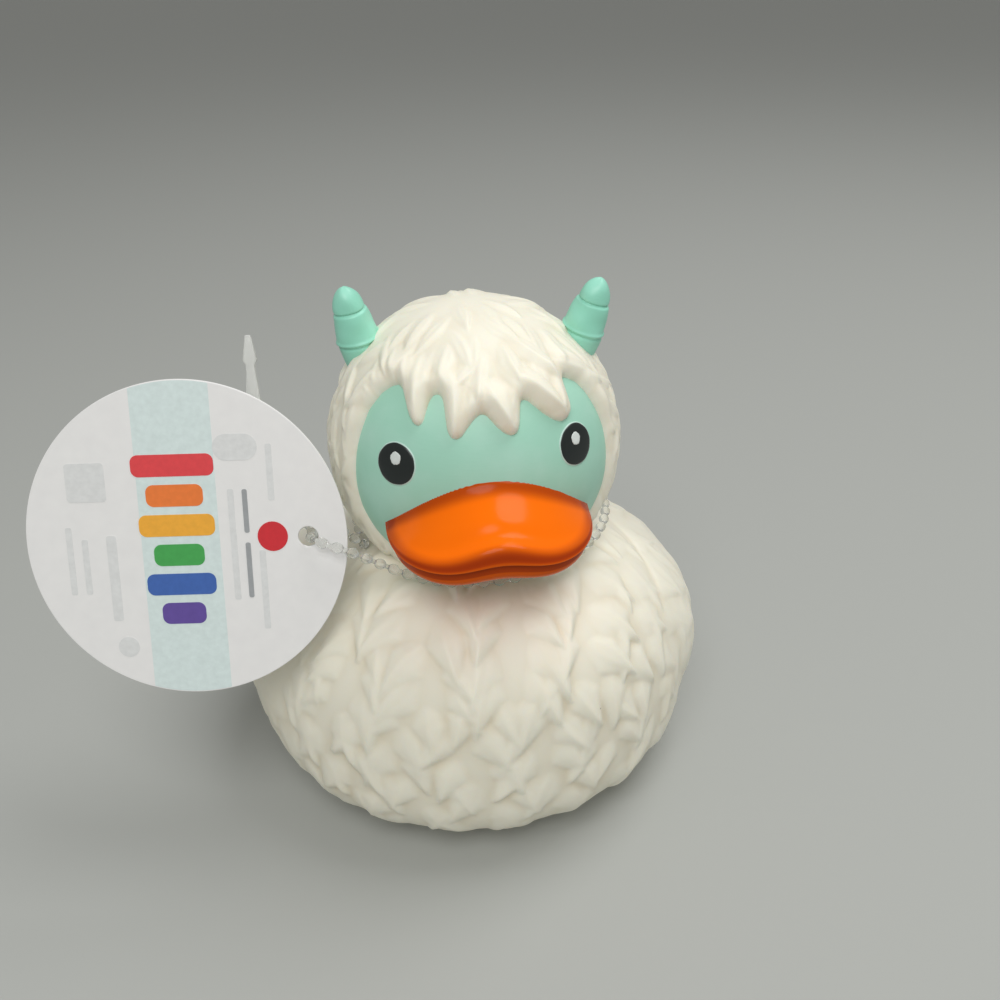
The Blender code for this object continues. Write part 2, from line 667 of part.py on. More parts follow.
def tag_frame():
    # Frame with its origin in the tag's hole, X from the tag's middle to the hole and Z out of its face
    azimuth = math.radians(TAG_AZIMUTH_DEG)
    fall = math.radians(TAG_FALL_DEG)
    away = Vector((math.cos(azimuth) * math.cos(fall), math.sin(azimuth) * math.cos(fall), -math.sin(fall)))
    hole = HEAD_CENTRE + away * (loop_radius() + TAG_REACH)
    turn = Matrix.Rotation(math.radians(TAG_TURN_DEG), 4, "Z")
    lean = Matrix.Rotation(math.radians(90.0 - TAG_LEAN_DEG), 4, "X")
    return Matrix.Translation(hole) @ turn @ lean


def loop_route():
    frame = tag_frame()
    route = [neck_point(angle) for angle in range(-125, 196, 20)]
    lock = Vector((-LOCK_ASIDE, LOCK_RISE, -LOCK_BEHIND))
    route.append(frame @ Vector((lock.x + 0.0035, lock.y - 0.0060, lock.z - 0.0035)))
    route.append(frame @ lock)
    route.append(frame @ Vector((lock.x + 0.0030, lock.y * 0.45, lock.z * 0.95)))
    route.append(frame @ Vector((0.0, 0.0, -2 * LOOP_BEAD_RADIUS)))
    route.append(frame @ Vector((0.0, 0.0, 1.2 * LOOP_BEAD_RADIUS)))
    route.append(frame @ Vector((TAG_HOLE_MARGIN * 0.5, -0.0004, 2.4 * LOOP_BEAD_RADIUS)))
    route.append(frame @ Vector((TAG_HOLE_MARGIN * 1.1, -0.0012, 2.4 * LOOP_BEAD_RADIUS)))
    return route


def smooth_closed(points, pitch):
    # Catmull-Rom curve through the points, read off at equal steps along its length
    dense = []
    count = len(points)
    for k in range(count):
        p0, p1, p2, p3 = (points[(k + j) % count] for j in (-1, 0, 1, 2))
        for m in range(24):
            t = m / 24
            a = 2 * p1
            b = (p2 - p0) * t
            c = (2 * p0 - 5 * p1 + 4 * p2 - p3) * t * t
            d = (3 * p1 - p0 - 3 * p2 + p3) * t * t * t
            dense.append(0.5 * (a + b + c + d))
    dense.append(dense[0])
    lengths = [0.0]
    for before, after in zip(dense, dense[1:]):
        lengths.append(lengths[-1] + (after - before).length)
    steps = 2 * round(lengths[-1] / pitch / 2)
    even = []
    for k in range(steps):
        target = lengths[-1] * k / steps
        m = max(j for j, length in enumerate(lengths) if length <= target)
        share = (target - lengths[m]) / max(lengths[m + 1] - lengths[m], 1e-9)
        even.append(dense[m].lerp(dense[m + 1], share))
    return even


def mesh_from_curve(obj):
    # Turns a curve into a mesh with welded caps, so that it can be joined to others
    bpy.context.view_layer.update()
    evaluated = obj.evaluated_get(bpy.context.evaluated_depsgraph_get())
    mesh = bpy.data.meshes.new_from_object(evaluated)
    work = bmesh.new()
    work.from_mesh(mesh)
    bmesh.ops.remove_doubles(work, verts=work.verts, dist=0.000001)
    bmesh.ops.recalc_face_normals(work, faces=work.faces)
    work.to_mesh(mesh)
    work.free()
    name = obj.name
    collection = obj.users_collection[0]
    matrix = obj.matrix_world.copy()
    bpy.data.objects.remove(obj, do_unlink=True)
    solid = bpy.data.objects.new(name, mesh)
    solid.matrix_world = matrix
    collection.objects.link(solid)
    return solid


def make_tie(parts, formers):
    plastic = make_material("Clear nylon", (0.86, 0.87, 0.86), 0.2, alpha=0.5)
    points = smooth_closed(loop_route(), LOOP_BEAD_PITCH / 2)
    curve = bpy.data.curves.new("tag_tie", "CURVE")
    curve.dimensions = "3D"
    spline = curve.splines.new("POLY")
    spline.points.add(len(points) - 1)
    for k, point in enumerate(points):
        spline.points[k].co = (*point, 1.0)
        spline.points[k].radius = 1.0 if k % 2 else LOOP_STRING_RADIUS / LOOP_BEAD_RADIUS
    spline.use_cyclic_u = True
    curve.bevel_depth = LOOP_BEAD_RADIUS
    curve.bevel_resolution = 1
    string = bpy.data.objects.new("tag_tie", curve)
    parts.objects.link(string)
    tie = mesh_from_curve(string)
    tie.data.materials.clear()
    tie.data.materials.append(plastic)
    combine(tie, make_lock(formers, plastic), "UNION")
    combine(tie, make_strap(formers, plastic), "UNION")
    return tie


def lock_place():
    place = Matrix.Translation((-LOCK_ASIDE, LOCK_RISE, -LOCK_BEHIND))
    return tag_frame() @ place @ Matrix.Rotation(math.radians(STRAP_TILT_DEG), 4, "Z")


def make_lock(collection, plastic):
    # The head that holds both ends of the loop
    bpy.ops.mesh.primitive_cube_add(size=1.0)
    lock = take(collection, "lock_head", plastic)
    lock.data.transform(Matrix.Diagonal((LOCK_WIDTH, LOCK_HEIGHT, LOCK_DEPTH, 1.0)))
    lock.matrix_world = lock_place()
    edge = lock.modifiers.new("Rounded edges", "BEVEL")
    edge.width = LOCK_DEPTH * 0.22
    edge.segments = 2
    return as_former(lock)


def make_strap(collection, plastic):
    # The spare end that stands out of the lock: a tapered strap with an arrow at its end
    arrow_foot = STRAP_LENGTH - STRAP_ARROW_LENGTH
    half = [
        (STRAP_WIDTH / 2, 0.0),
        (STRAP_WIDTH / 2, LOCK_HEIGHT * 1.1),
        (STRAP_NECK_WIDTH / 2, arrow_foot - STRAP_ARROW_WIDTH * 0.4),
        (STRAP_NECK_WIDTH / 2, arrow_foot),
        (STRAP_ARROW_WIDTH / 2, arrow_foot + STRAP_ARROW_WIDTH * 0.3),
        (STRAP_ARROW_WIDTH * 0.2, STRAP_LENGTH),
    ]
    outline = half + [(-x, y) for x, y in reversed(half)]
    curve = bpy.data.curves.new("strap", "CURVE")
    curve.dimensions = "2D"
    curve.fill_mode = "BOTH"
    curve.extrude = STRAP_THICKNESS / 2
    spline = curve.splines.new("POLY")
    spline.points.add(len(outline) - 1)
    for k, (x, y) in enumerate(outline):
        spline.points[k].co = (x, y, 0.0, 1.0)
    spline.use_cyclic_u = True
    flat = bpy.data.objects.new("strap", curve)
    flat.matrix_world = lock_place()
    collection.objects.link(flat)
    strap = mesh_from_curve(flat)
    strap.data.materials.clear()
    strap.data.materials.append(plastic)
    return as_former(strap)


def circle_spline(curve, x, radius, count):
    spline = curve.splines.new("POLY")
    spline.points.add(count - 1)
    for k in range(count):
        angle = 2 * math.pi * k / count
        spline.points[k].co = (x + radius * math.cos(angle), radius * math.sin(angle), 0.0, 1.0)
    spline.use_cyclic_u = True


def make_tag(parts):
    card = make_material("White card", (0.72, 0.71, 0.69), 0.4)
    curve = bpy.data.curves.new("swing_tag", "CURVE")
    curve.dimensions = "2D"
    curve.fill_mode = "BOTH"
    curve.extrude = TAG_THICKNESS / 2
    circle_spline(curve, TAG_HOLE_MARGIN - TAG_DIAMETER / 2, TAG_DIAMETER / 2, 72)
    circle_spline(curve, 0.0, TAG_HOLE_DIAMETER / 2, 20)
    flat = bpy.data.objects.new("swing_tag", curve)
    flat.matrix_world = tag_frame()
    parts.objects.link(flat)
    tag = mesh_from_curve(flat)
    tag.data.materials.clear()
    tag.data.materials.append(card)
    return tag


def main():
    clear_scene()
    parts = make_collection("Rubber duck")
    formers = make_collection("Formers")
    make_duck(parts, formers)
    make_tag(parts)
    make_tie(parts, formers)


main()
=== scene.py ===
import math

import bmesh
import bpy
import numpy as np
from mathutils import Matrix, Vector


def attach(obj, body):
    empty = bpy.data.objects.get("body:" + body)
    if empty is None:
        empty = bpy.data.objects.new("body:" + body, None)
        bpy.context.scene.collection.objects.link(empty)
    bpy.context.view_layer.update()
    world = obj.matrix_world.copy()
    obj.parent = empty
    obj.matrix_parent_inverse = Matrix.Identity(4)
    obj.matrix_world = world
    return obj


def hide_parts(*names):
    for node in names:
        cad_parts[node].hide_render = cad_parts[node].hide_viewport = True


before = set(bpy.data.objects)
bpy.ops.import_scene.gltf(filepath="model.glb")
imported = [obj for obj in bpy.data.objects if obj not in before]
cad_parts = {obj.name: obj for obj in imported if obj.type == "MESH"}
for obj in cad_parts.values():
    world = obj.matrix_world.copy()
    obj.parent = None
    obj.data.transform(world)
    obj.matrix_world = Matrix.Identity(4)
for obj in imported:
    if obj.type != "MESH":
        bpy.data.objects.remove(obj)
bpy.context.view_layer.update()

# Rubber duck with a shaggy moulded coat, two horns and a card tag. It faces -Y; metres throughout.


# Small tools used by every piece

def toLinear(text):
    # sRGB hex to linear red, green, blue and alpha
    levels = [int(text[k:k + 2], 16) / 255 for k in (0, 2, 4)]
    return (*[c / 12.92 if c <= 0.04045 else ((c + 0.055) / 1.055) ** 2.4 for c in levels], 1.0)


def join(tree, node, links):
    # Joins outputs to a node's sockets
    for name, output in links.items():
        tree.links.new(output, node.inputs[name])


def addNode(tree, kind, settings=None, links=None):
    # Adds one node; settings are its properties or socket values, links are outputs joined to its sockets
    node = tree.nodes.new("ShaderNode" + kind)
    for name, value in (settings or {}).items():
        if isinstance(name, str) and name in node.bl_rna.properties:
            setattr(node, name, value)
        else:
            node.inputs[name].default_value = value
    join(tree, node, links or {})
    return node


def newMaterial(name, values):
    # A material with its node tree, its shader, and the object's coordinates as a link for textures
    material = bpy.data.materials.new(name)
    material.use_nodes = True
    tree = material.node_tree
    shader = tree.nodes["Principled BSDF"]
    for socket, value in values.items():
        shader.inputs[socket].default_value = value
    return material, tree, shader, {"Vector": addNode(tree, "TexCoord").outputs["Object"]}


def perSize(millimetres):
    # Texture scale that gives one feature each so many millimetres
    return 1000.0 / millimetres


def rows(mesh):
    flat = np.empty(len(mesh.vertices) * 3)
    mesh.vertices.foreach_get("co", flat)
    return flat.reshape(-1, 3)


def moveRows(mesh, points):
    mesh.vertices.foreach_set("co", np.ascontiguousarray(points).ravel())
    mesh.update()


def unit(vectors):
    return vectors / np.linalg.norm(vectors, axis=-1, keepdims=True)


def ease(value, low, high):
    t = np.clip((value - low) / (high - low), 0.0, 1.0)
    return t * t * (3.0 - 2.0 * t)


def hump(value, middle, width):
    # A smooth bump of height 1 round a value
    return np.exp(-(((value - middle) / width) ** 2))


def towards(longitude, latitude):
    # Direction from the middle of the head; 0, 0 looks along -Y, where the bill points
    lon, lat = math.radians(longitude), math.radians(latitude)
    return Vector((math.sin(lon) * math.cos(lat), -math.cos(lon) * math.cos(lat), math.sin(lat)))


def turnBy(degrees, axis):
    return Matrix.Rotation(math.radians(degrees), 4, axis)


def addPiece(obj, nodes, material, smooth=True):
    # Makes an object part of the duck: hides the parts it stands for, gives it its material, and makes it
    # move with the body
    obj.data.materials.clear()
    obj.data.materials.append(material)
    if smooth:
        obj.data.shade_smooth()
    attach(obj, "root")
    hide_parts(*nodes)
    return obj


def newObject(name, data, matrix=None):
    obj = bpy.data.objects.new(name, data)
    bpy.context.scene.collection.objects.link(obj)
    if matrix is not None:
        obj.matrix_world = matrix
    return obj


def fromBmesh(name, work, matrix=None):
    bmesh.ops.recalc_face_normals(work, faces=work.faces)
    mesh = bpy.data.meshes.new(name)
    work.to_mesh(mesh)
    work.free()
    return newObject(name, mesh, matrix)


def ringAngles(count):
    return [2 * math.pi * k / count for k in range(count)]


def joinRings(work, rings):
    # Faces between each ring of points and the next
    for low, high in zip(rings, rings[1:]):
        for k in range(len(low)):
            n = (k + 1) % len(low)
            work.faces.new((low[k], low[n], high[n], high[k]))


def capRing(work, ring, tip):
    for k in range(len(ring)):
        work.faces.new((ring[k], ring[(k + 1) % len(ring)], tip))


def applyModifiers(obj):
    bpy.context.view_layer.update()
    evaluated = obj.evaluated_get(bpy.context.evaluated_depsgraph_get())
    mesh = bpy.data.meshes.new_from_object(evaluated)
    old = obj.data
    obj.modifiers.clear()
    obj.data = mesh
    bpy.data.meshes.remove(old)


def thinOut(obj, triangles):
    # Collapses edges where the surface is flat, so that the triangles stay where the tufts are
    collapse = obj.modifiers.new("thinOut", "DECIMATE")
    collapse.ratio = min(1.0, triangles / len(obj.data.polygons))
    applyModifiers(obj)


def setPointValue(mesh, name, values):
    layer = mesh.attributes.new(name, "FLOAT", "POINT")
    layer.data.foreach_set("value", np.asarray(values, dtype=np.float32))


def icoSphere(name, level):
    bpy.ops.mesh.primitive_ico_sphere_add(subdivisions=level, radius=1.0)
    obj = bpy.context.object
    obj.name = name
    obj.data.name = name
    return obj


def averaged(mesh, values, times):
    # Evens a value out between neighbouring points
    ends = np.empty(len(mesh.edges) * 2, dtype=np.int64)
    mesh.edges.foreach_get("vertices", ends)
    ends = ends.reshape(-1, 2)
    a = np.concatenate([ends[:, 0], ends[:, 1]])
    b = np.concatenate([ends[:, 1], ends[:, 0]])
    count = np.bincount(a, minlength=len(values))
    for _ in range(times):
        values = 0.5 * values + 0.5 * np.bincount(a, weights=values[b], minlength=len(values)) / count
    return values


# Camera, at the photograph's viewing angle

camera = {
    "azimuth": -7.5, "elevation": 29.4, "roll": -1.54,  # degrees
    "distance": 0.185, "target": (0.00485, 0.0, 0.0523), "nearest": 0.01,
    "lens": 36.0, "sensor": 36.0,  # mm
}


def makeCamera():
    azimuth, roll = math.radians(camera["azimuth"]), math.radians(camera["roll"])
    back = towards(camera["azimuth"], camera["elevation"])
    level = Vector((math.cos(azimuth), math.sin(azimuth), 0.0))
    upright = back.cross(level)
    right = level * math.cos(roll) + upright * math.sin(roll)
    up = upright * math.cos(roll) - level * math.sin(roll)
    data = bpy.data.cameras.new("camera")
    data.lens = camera["lens"]
    data.sensor_width = camera["sensor"]
    data.clip_start = camera["nearest"]
    place = Matrix((right, up, back)).transposed().to_4x4()
    place.translation = Vector(camera["target"]) + back * camera["distance"]
    bpy.context.scene.camera = newObject("camera", data, place)


# Body: a full round form under a coat of overlapping tufts

body = {
    "halfWidth": 0.0427, "front": 0.0438, "back": 0.0445, "centreX": -0.0013, "centreY": 0.0040,
    "waist": 0.0238, "shoulder": 0.0315, "belly": 0.0256,
    "shoulderPower": 1.70, "bellyPower": 3.2,
    "tailLift": 0.0180, "tailReach": 0.0055, "tailHalfWidth": 0.0120,
    "wingRelief": 0.0016, "wingLength": 0.0400, "wingAhead": 0.0120,
    "wingHalfHeight": 0.0135, "wingAboveWaist": 0.0060, "wingClimb": 0.0100,
    "flankCalm": 0.6, "ventRadius": 0.0030, "ventBack": 0.0150, "ventDepth": 0.0040,
    "level": 8, "triangles": 190000,
}
bodyTufts = {
    "length": 0.0112, "width": 0.0068, "height": 0.00115, "tallest": 1.05, "pitch": 0.0057,
    "top": 66.0, "bottom": -42.0, "swirl": 0.0, "tilt": 24.0, "jitter": 10.0, "seed": 11,
    "widest": 0.36, "taper": 1.0, "highest": 0.80, "tip": 0.70, "roof": 0.65, "aslant": 0.3, "soft": 2,
    "hair": 0.00005, "calmBelow": 0.0160, "calmBase": 0.35,
}
head = {
    "radius": 0.0236, "centre": Vector((0.0, -0.0050, 0.0680)), "hood": 0.0010, "sunk": 0.0010,
    "rounding": 5.0, "edgeSoft": 6, "reliefFrom": (-1.0, 7.0), "strandShare": 0.75,
    "lockRelief": 0.0007, "lockLatitudes": (14.0, 26.0), "lockDistances": (5.0, 14.0),
    "level": 8, "triangles": 160000,
}
hoodStrands = {
    "length": 0.0085, "width": 0.0033, "height": 0.0008, "tallest": 1.1, "pitch": 0.0036,
    "top": 84.0, "bottom": -45.0, "swirl": 10.0, "tilt": 30.0, "jitter": 24.0, "seed": 12,
    "widest": 0.42, "taper": 1.6, "highest": 0.75, "tip": 0.55, "roof": 0.8, "aslant": 0.5, "soft": 2,
    "hair": 0.00008,
}
# Longer locks that fall to the fringe: root and tip as longitude and latitude in degrees, width, height
longLocks = [
    ((-38.0, 56.0), (-29.0, 29.6), 0.0046, 0.0010), ((-24.0, 54.0), (-13.4, 26.0), 0.0056, 0.0012),
    ((-4.0, 50.0), (9.6, 26.0), 0.0050, 0.0012), ((8.0, 52.0), (34.4, 26.6), 0.0054, 0.0013),
    ((-22.0, 62.0), (-21.5, 42.5), 0.0040, 0.0008), ((2.0, 58.0), (-4.0, 35.2), 0.0044, 0.0010),
    ((16.0, 60.0), (17.0, 39.4), 0.0040, 0.0010), ((22.0, 64.0), (38.0, 40.0), 0.0046, 0.0010),
    ((-62.0, 56.0), (-47.0, 43.0), 0.0046, 0.0007), ((58.0, 60.0), (46.0, 42.0), 0.0044, 0.0007),
]
# Outline of the bare face, clockwise from the left cheek: longitude and latitude in degrees
faceOutline = [
    (-59.2, -2.0), (-58.9, 10.8), (-58.2, 19.1), (-57.0, 29.5), (-53.2, 37.0), (-48.9, 40.7), (-45.4, 42.0),
    (-42.3, 40.7), (-38.4, 36.4), (-35.0, 31.7), (-31.8, 28.7), (-29.2, 28.3), (-27.4, 29.9), (-26.7, 34.1),
    (-26.1, 37.9), (-24.8, 40.4), (-22.6, 41.0), (-20.8, 39.6), (-19.6, 36.5), (-18.4, 31.9), (-17.4, 27.9),
    (-15.7, 25.2), (-13.2, 24.4), (-10.7, 25.6), (-8.1, 28.9), (-5.3, 32.0), (-2.7, 33.6), (-0.7, 33.1),
    (1.0, 31.2), (3.3, 28.5), (6.1, 25.9), (9.3, 24.5), (12.2, 25.6), (13.8, 28.3), (15.1, 32.7),
    (16.3, 36.0), (17.8, 36.9), (19.6, 36.0), (22.3, 33.1), (25.4, 29.8), (28.9, 26.9), (32.5, 25.0),
    (35.9, 25.1), (39.2, 27.1), (40.5, 29.8), (41.5, 34.6), (42.7, 38.6), (44.2, 40.1), (47.2, 38.9),
    (51.6, 35.8), (54.6, 30.6), (57.0, 22.6), (58.4, 14.0), (58.9, 2.0), (58.4, -12.0), (55.0, -25.0),
    (48.0, -37.0), (36.0, -48.0), (18.0, -55.0), (0.0, -57.0), (-18.0, -55.0), (-36.0, -48.0),
    (-48.0, -37.0), (-55.0, -25.0), (-58.4, -12.0),
]


def bodyShift(height):
    # The upper body leans forward under the head
    lean = head["centre"].y - body["centreY"]
    return body["centreY"] + lean * ease(height, body["waist"], body["waist"] + body["shoulder"] * 0.85)


def bodySurface(directions):
    d = unit(directions)
    halfDepth = np.where(d[:, 1] < 0, body["front"], body["back"])
    across = np.hypot(d[:, 0] / body["halfWidth"], d[:, 1] / halfDepth)
    upper = d[:, 2] > 0
    power = np.where(upper, body["shoulderPower"], body["bellyPower"])
    rise = np.where(upper, body["shoulder"], body["belly"])
    reach = (across ** power + (np.abs(d[:, 2]) / rise) ** power) ** (-1.0 / power)
    points = d * reach[:, None]
    height = points[:, 2] + body["waist"]
    points[:, 1] += bodyShift(height)
    points[:, 2] = height
    behind = ease(points[:, 1], body["centreY"] + body["back"] * 0.42, body["centreY"] + body["back"])
    narrow = np.exp(-((points[:, 0] / body["tailHalfWidth"]) ** 2))
    above = ease(height, body["waist"] * 0.3, body["waist"] * 1.25)
    pull = behind * narrow * above
    points[:, 2] += body["tailLift"] * pull
    points[:, 1] += body["tailReach"] * pull
    points[:, 0] += body["centreX"]
    return points


def headSurface(directions):
    return unit(directions) * head["radius"] + np.array(head["centre"])


def outwardNormals(surface, directions):
    step = 1e-3
    d = unit(directions)
    helper = np.where(np.abs(d[:, 2:3]) < 0.9, [[0.0, 0.0, 1.0]], [[1.0, 0.0, 0.0]])
    first = unit(np.cross(helper, d))
    second = np.cross(d, first)
    alongFirst = surface(d + step * first) - surface(d - step * first)
    alongSecond = surface(d + step * second) - surface(d - step * second)
    return unit(np.cross(alongFirst, alongSecond))


def onUnitBall(turn, rise):
    return [math.cos(turn) * math.cos(rise), math.sin(turn) * math.cos(rise), math.sin(rise)]


def layTufts(surface, tuft):
    # Rows of tufts from the crown down, each turned a little to one side or the other
    rng = np.random.default_rng(tuft["seed"])
    made = []
    row = 0
    elevation = tuft["top"]
    while elevation > tuft["bottom"]:
        rise = math.radians(elevation)
        here, below = surface(np.array([onUnitBall(0.0, rise), onUnitBall(0.0, rise - math.radians(1.0))]))
        count = max(5, round(2 * math.pi * abs(here[0]) / tuft["pitch"]))
        for k in range(count):
            turn = 2 * math.pi * (k + 0.5 * (row % 2) + rng.uniform(-0.2, 0.2)) / count
            tip = math.radians(elevation + rng.uniform(-1.5, 1.5))
            direction = np.array(onUnitBall(turn, tip))
            anchor, nextPoint = surface(np.array([direction, onUnitBall(turn, tip - 0.02)]))
            normal = outwardNormals(surface, direction[None, :])[0]
            down = unit(nextPoint - anchor)
            side = np.cross(normal, down)
            sign = 1.0 if k % 2 else -1.0
            jitter = tuft["jitter"] * rng.uniform(-1.0, 1.0)
            angle = math.radians(tuft["swirl"] + sign * tuft["tilt"] + jitter)
            along = math.cos(angle) * down + math.sin(angle) * side
            aside = np.cross(normal, along)
            size = rng.uniform(0.85, 1.15)
            height = tuft["height"] * rng.uniform(0.75, tuft["tallest"])
            ridge = tuft["aslant"] * math.sin(7.0 * k + 3.0 * row)
            made.append((anchor, along, aside, tuft["length"] * size, tuft["width"] * size, height, ridge))
        elevation -= tuft["pitch"] / np.linalg.norm(here - below)
        row += 1
    return made


def layLocks():
    # The longer locks of the hood, each a tuft laid from its root to its tip
    centre = np.array(head["centre"])
    made = []
    for root, tip, width, height in longLocks:
        normal = np.array(towards(*root))
        anchor = centre + normal * head["radius"]
        run = centre + np.array(towards(*tip)) * head["radius"] - anchor
        run -= normal * (run @ normal)
        length = np.linalg.norm(run)
        along = run / length
        made.append((anchor, along, np.cross(normal, along), length, width, height, 0.0))
    return made


def tuftRelief(points, tufts, shape):
    # Height of the coat: the highest of the pointed leaves over each point. Each leaf is a low roof whose
    # ridge lies to one side, with fine hair drawn along it
    relief = np.zeros(len(points))
    widest, highest = shape["widest"], shape["highest"]
    for anchor, along, aside, length, width, height, ridge in tufts:
        box = np.flatnonzero(np.abs(points - anchor).max(axis=1) < 1.15 * length)
        offset = points[box] - anchor
        share = offset @ along / length
        sideways = offset @ aside
        near = (share > 0.0) & (share < 1.0) & (np.abs(sideways) < width)
        near &= np.einsum("ij,ij->i", offset, offset) < (1.3 * length) ** 2
        box, s, sideways = box[near], share[near], sideways[near]
        taper = 1.0 - (np.maximum(s - widest, 0.0) / (1.0 - widest)) ** shape["taper"]
        half = width / 2 * np.where(s < widest, np.sqrt(s / widest), taper)
        across = np.clip(sideways / np.maximum(half, 1e-6), -1.0, 1.0)
        rise = np.sin(np.clip(s / highest, 0.0, 1.0) * math.pi / 2)
        rise *= 1.0 - (1.0 - shape["tip"]) * ease(s, highest, 1.0)
        roof = np.minimum((1.0 - across) / (1.0 - ridge), (1.0 + across) / (1.0 + ridge)) ** shape["roof"]
        strand = np.sin(math.pi * s) * np.cos(math.pi * (3.0 * across + 0.5)) * (1.0 - across ** 2)
        relief[box] = np.maximum(relief[box], height * rise * roof + shape["hair"] * strand)
    return relief


def coatStrength(points):
    # Full tufts on the breast and the rump, a calmer coat on the flanks and down at the floor
    aside = np.abs(points[:, 0] - body["centreX"])
    turn = np.degrees(np.arctan2(aside, body["centreY"] - points[:, 1]))
    flank = ease(turn, 40.0, 62.0) * (1.0 - ease(turn, 118.0, 145.0))
    calm = 1.0 - (1.0 - bodyTufts["calmBase"]) * (1.0 - ease(points[:, 2], 0.0, bodyTufts["calmBelow"]))
    return (1.0 - body["flankCalm"] * flank) * calm


def wingRelief(points):
    along = (points[:, 1] - body["centreY"] + body["wingAhead"]) / body["wingLength"]
    middle = body["waist"] + body["wingAboveWaist"] + body["wingClimb"] * along
    half = body["wingHalfHeight"] * np.sqrt(np.clip(1.0 - (2.0 * along - 0.7) ** 2 / 2.9, 0.0, 1.0))
    inside = np.clip(1.0 - np.abs(points[:, 2] - middle) / np.maximum(half, 1e-6), 0.0, 1.0)
    ends = ease(along, -0.32, -0.05) * (1.0 - ease(along, 0.9, 1.05))
    side = ease(np.abs(points[:, 0] - body["centreX"]), 0.4 * body["halfWidth"], 0.7 * body["halfWidth"])
    return body["wingRelief"] * np.sqrt(inside) * ends * side


def grooveShade(mesh, relief):
    # Painted shade for the vinyl's colour: 0 on the tufts, 1 down in the hollows between them
    wide = averaged(mesh, relief, 60)
    return np.clip((wide - relief) / 0.00035, 0.0, 1.0)


def levelBase(obj):
    # Cuts the form level at the floor and closes it with a flat base round the vent
    work = bmesh.new()
    work.from_mesh(obj.data)
    everything = work.verts[:] + work.edges[:] + work.faces[:]
    bmesh.ops.bisect_plane(
        work, geom=everything, plane_co=(0, 0, 0), plane_no=(0, 0, 1), clear_inner=True, dist=1e-6
    )
    rim = [edge for edge in work.edges if edge.is_boundary]
    place = Matrix.Translation((0, body["ventBack"], 0))
    ring = bmesh.ops.create_circle(work, segments=48, radius=body["ventRadius"], matrix=place)["verts"]
    circle = list({edge for vert in ring for edge in vert.link_edges})
    bmesh.ops.triangle_fill(work, edges=rim + circle, use_beauty=True)
    raised = bmesh.ops.extrude_edge_only(work, edges=circle)["geom"]
    top = [part for part in raised if isinstance(part, bmesh.types.BMVert)]
    bmesh.ops.translate(work, verts=top, vec=(0, 0, body["ventDepth"]))
    bmesh.ops.contextual_create(work, geom=[e for e in raised if isinstance(e, bmesh.types.BMEdge)])
    bmesh.ops.triangulate(work, faces=[face for face in work.faces if len(face.verts) > 4])
    bmesh.ops.recalc_face_normals(work, faces=work.faces)
    work.to_mesh(obj.data)
    work.free()


def makeBodyCoat(vinyl):
    obj = icoSphere("body_coat", body["level"])
    directions = rows(obj.data)
    bare = bodySurface(directions)
    normals = outwardNormals(bodySurface, directions)
    relief = tuftRelief(bare, layTufts(bodySurface, bodyTufts), bodyTufts)
    relief = relief * coatStrength(bare) + wingRelief(bare)
    relief = averaged(obj.data, relief, bodyTufts["soft"])
    moveRows(obj.data, bare + normals * relief[:, None])
    # the groove value paints shade into the vinyl's colour between the tufts
    setPointValue(obj.data, "groove", grooveShade(obj.data, relief))
    thinOut(obj, body["triangles"])
    levelBase(obj)
    return addPiece(obj, ["duck"], vinyl)


def furDistance(directions):
    # Signed distance in degrees to the outline of the bare face, positive in the fur
    d = unit(directions)
    longitude = np.degrees(np.arctan2(d[:, 0], -d[:, 1]))
    latitude = np.degrees(np.arcsin(np.clip(d[:, 2], -1.0, 1.0)))
    distance = np.full(len(d), 30.0)
    near = np.flatnonzero((np.abs(longitude) < 80.0) & (latitude < 62.0))
    lon, lat = longitude[near], latitude[near]
    narrowing = np.cos(np.radians(lat))
    least = np.full(len(near), 30.0)
    bare = np.zeros(len(near), dtype=bool)
    for k, (x0, y0) in enumerate(faceOutline):
        x1, y1 = faceOutline[(k + 1) % len(faceOutline)]
        ax, ay = (lon - x0) * narrowing, lat - y0
        rx, ry = (x1 - x0) * narrowing, y1 - y0
        share = np.clip((ax * rx + ay * ry) / (rx * rx + ry * ry), 0.0, 1.0)
        least = np.minimum(least, np.hypot(ax - share * rx, ay - share * ry))
        if y0 != y1:
            edge = x0 + (lat - y0) * (x1 - x0) / (y1 - y0)
            bare ^= (lat > min(y0, y1)) & (lat <= max(y0, y1)) & (lon < edge)
    distance[near] = np.where(bare, -least, least)
    return distance, latitude


def makeHood(vinyl):
    obj = icoSphere("head_hood", head["level"])
    directions = rows(obj.data)
    bare = headSurface(directions)
    relief = tuftRelief(bare, layTufts(headSurface, hoodStrands), hoodStrands)
    relief = np.maximum(head["strandShare"] * relief, tuftRelief(bare, layLocks(), hoodStrands))
    relief = averaged(obj.data, relief, hoodStrands["soft"])
    distance, latitude = furDistance(directions)
    distance = averaged(obj.data, distance, head["edgeSoft"])
    rounding = np.clip(distance / head["rounding"], 0.0, 1.0)
    full = head["hood"] + relief * ease(distance, *head["reliefFrom"])
    # the fringe's locks stand a little higher than the fur behind them
    lock = ease(latitude, *head["lockLatitudes"]) * (1.0 - ease(distance, *head["lockDistances"]))
    full += head["lockRelief"] * lock
    lift = (full + head["sunk"]) * np.sqrt(1.0 - (1.0 - rounding) ** 2) - head["sunk"]
    radius = head["radius"] + lift
    moveRows(obj.data, unit(directions) * radius[:, None] + np.array(head["centre"]))
    # the groove value paints shade into the vinyl's colour between the strands
    setPointValue(obj.data, "groove", grooveShade(obj.data, relief))
    thinOut(obj, head["triangles"])
    return addPiece(obj, ["duck"], vinyl)


def makeFace(paint):
    bpy.ops.mesh.primitive_uv_sphere_add(
        segments=128, ring_count=64, radius=head["radius"], location=head["centre"]
    )
    obj = bpy.context.object
    obj.name = "face"
    return addPiece(obj, ["duck"], paint)


# Eyes, as pad-printed ovals with a glint

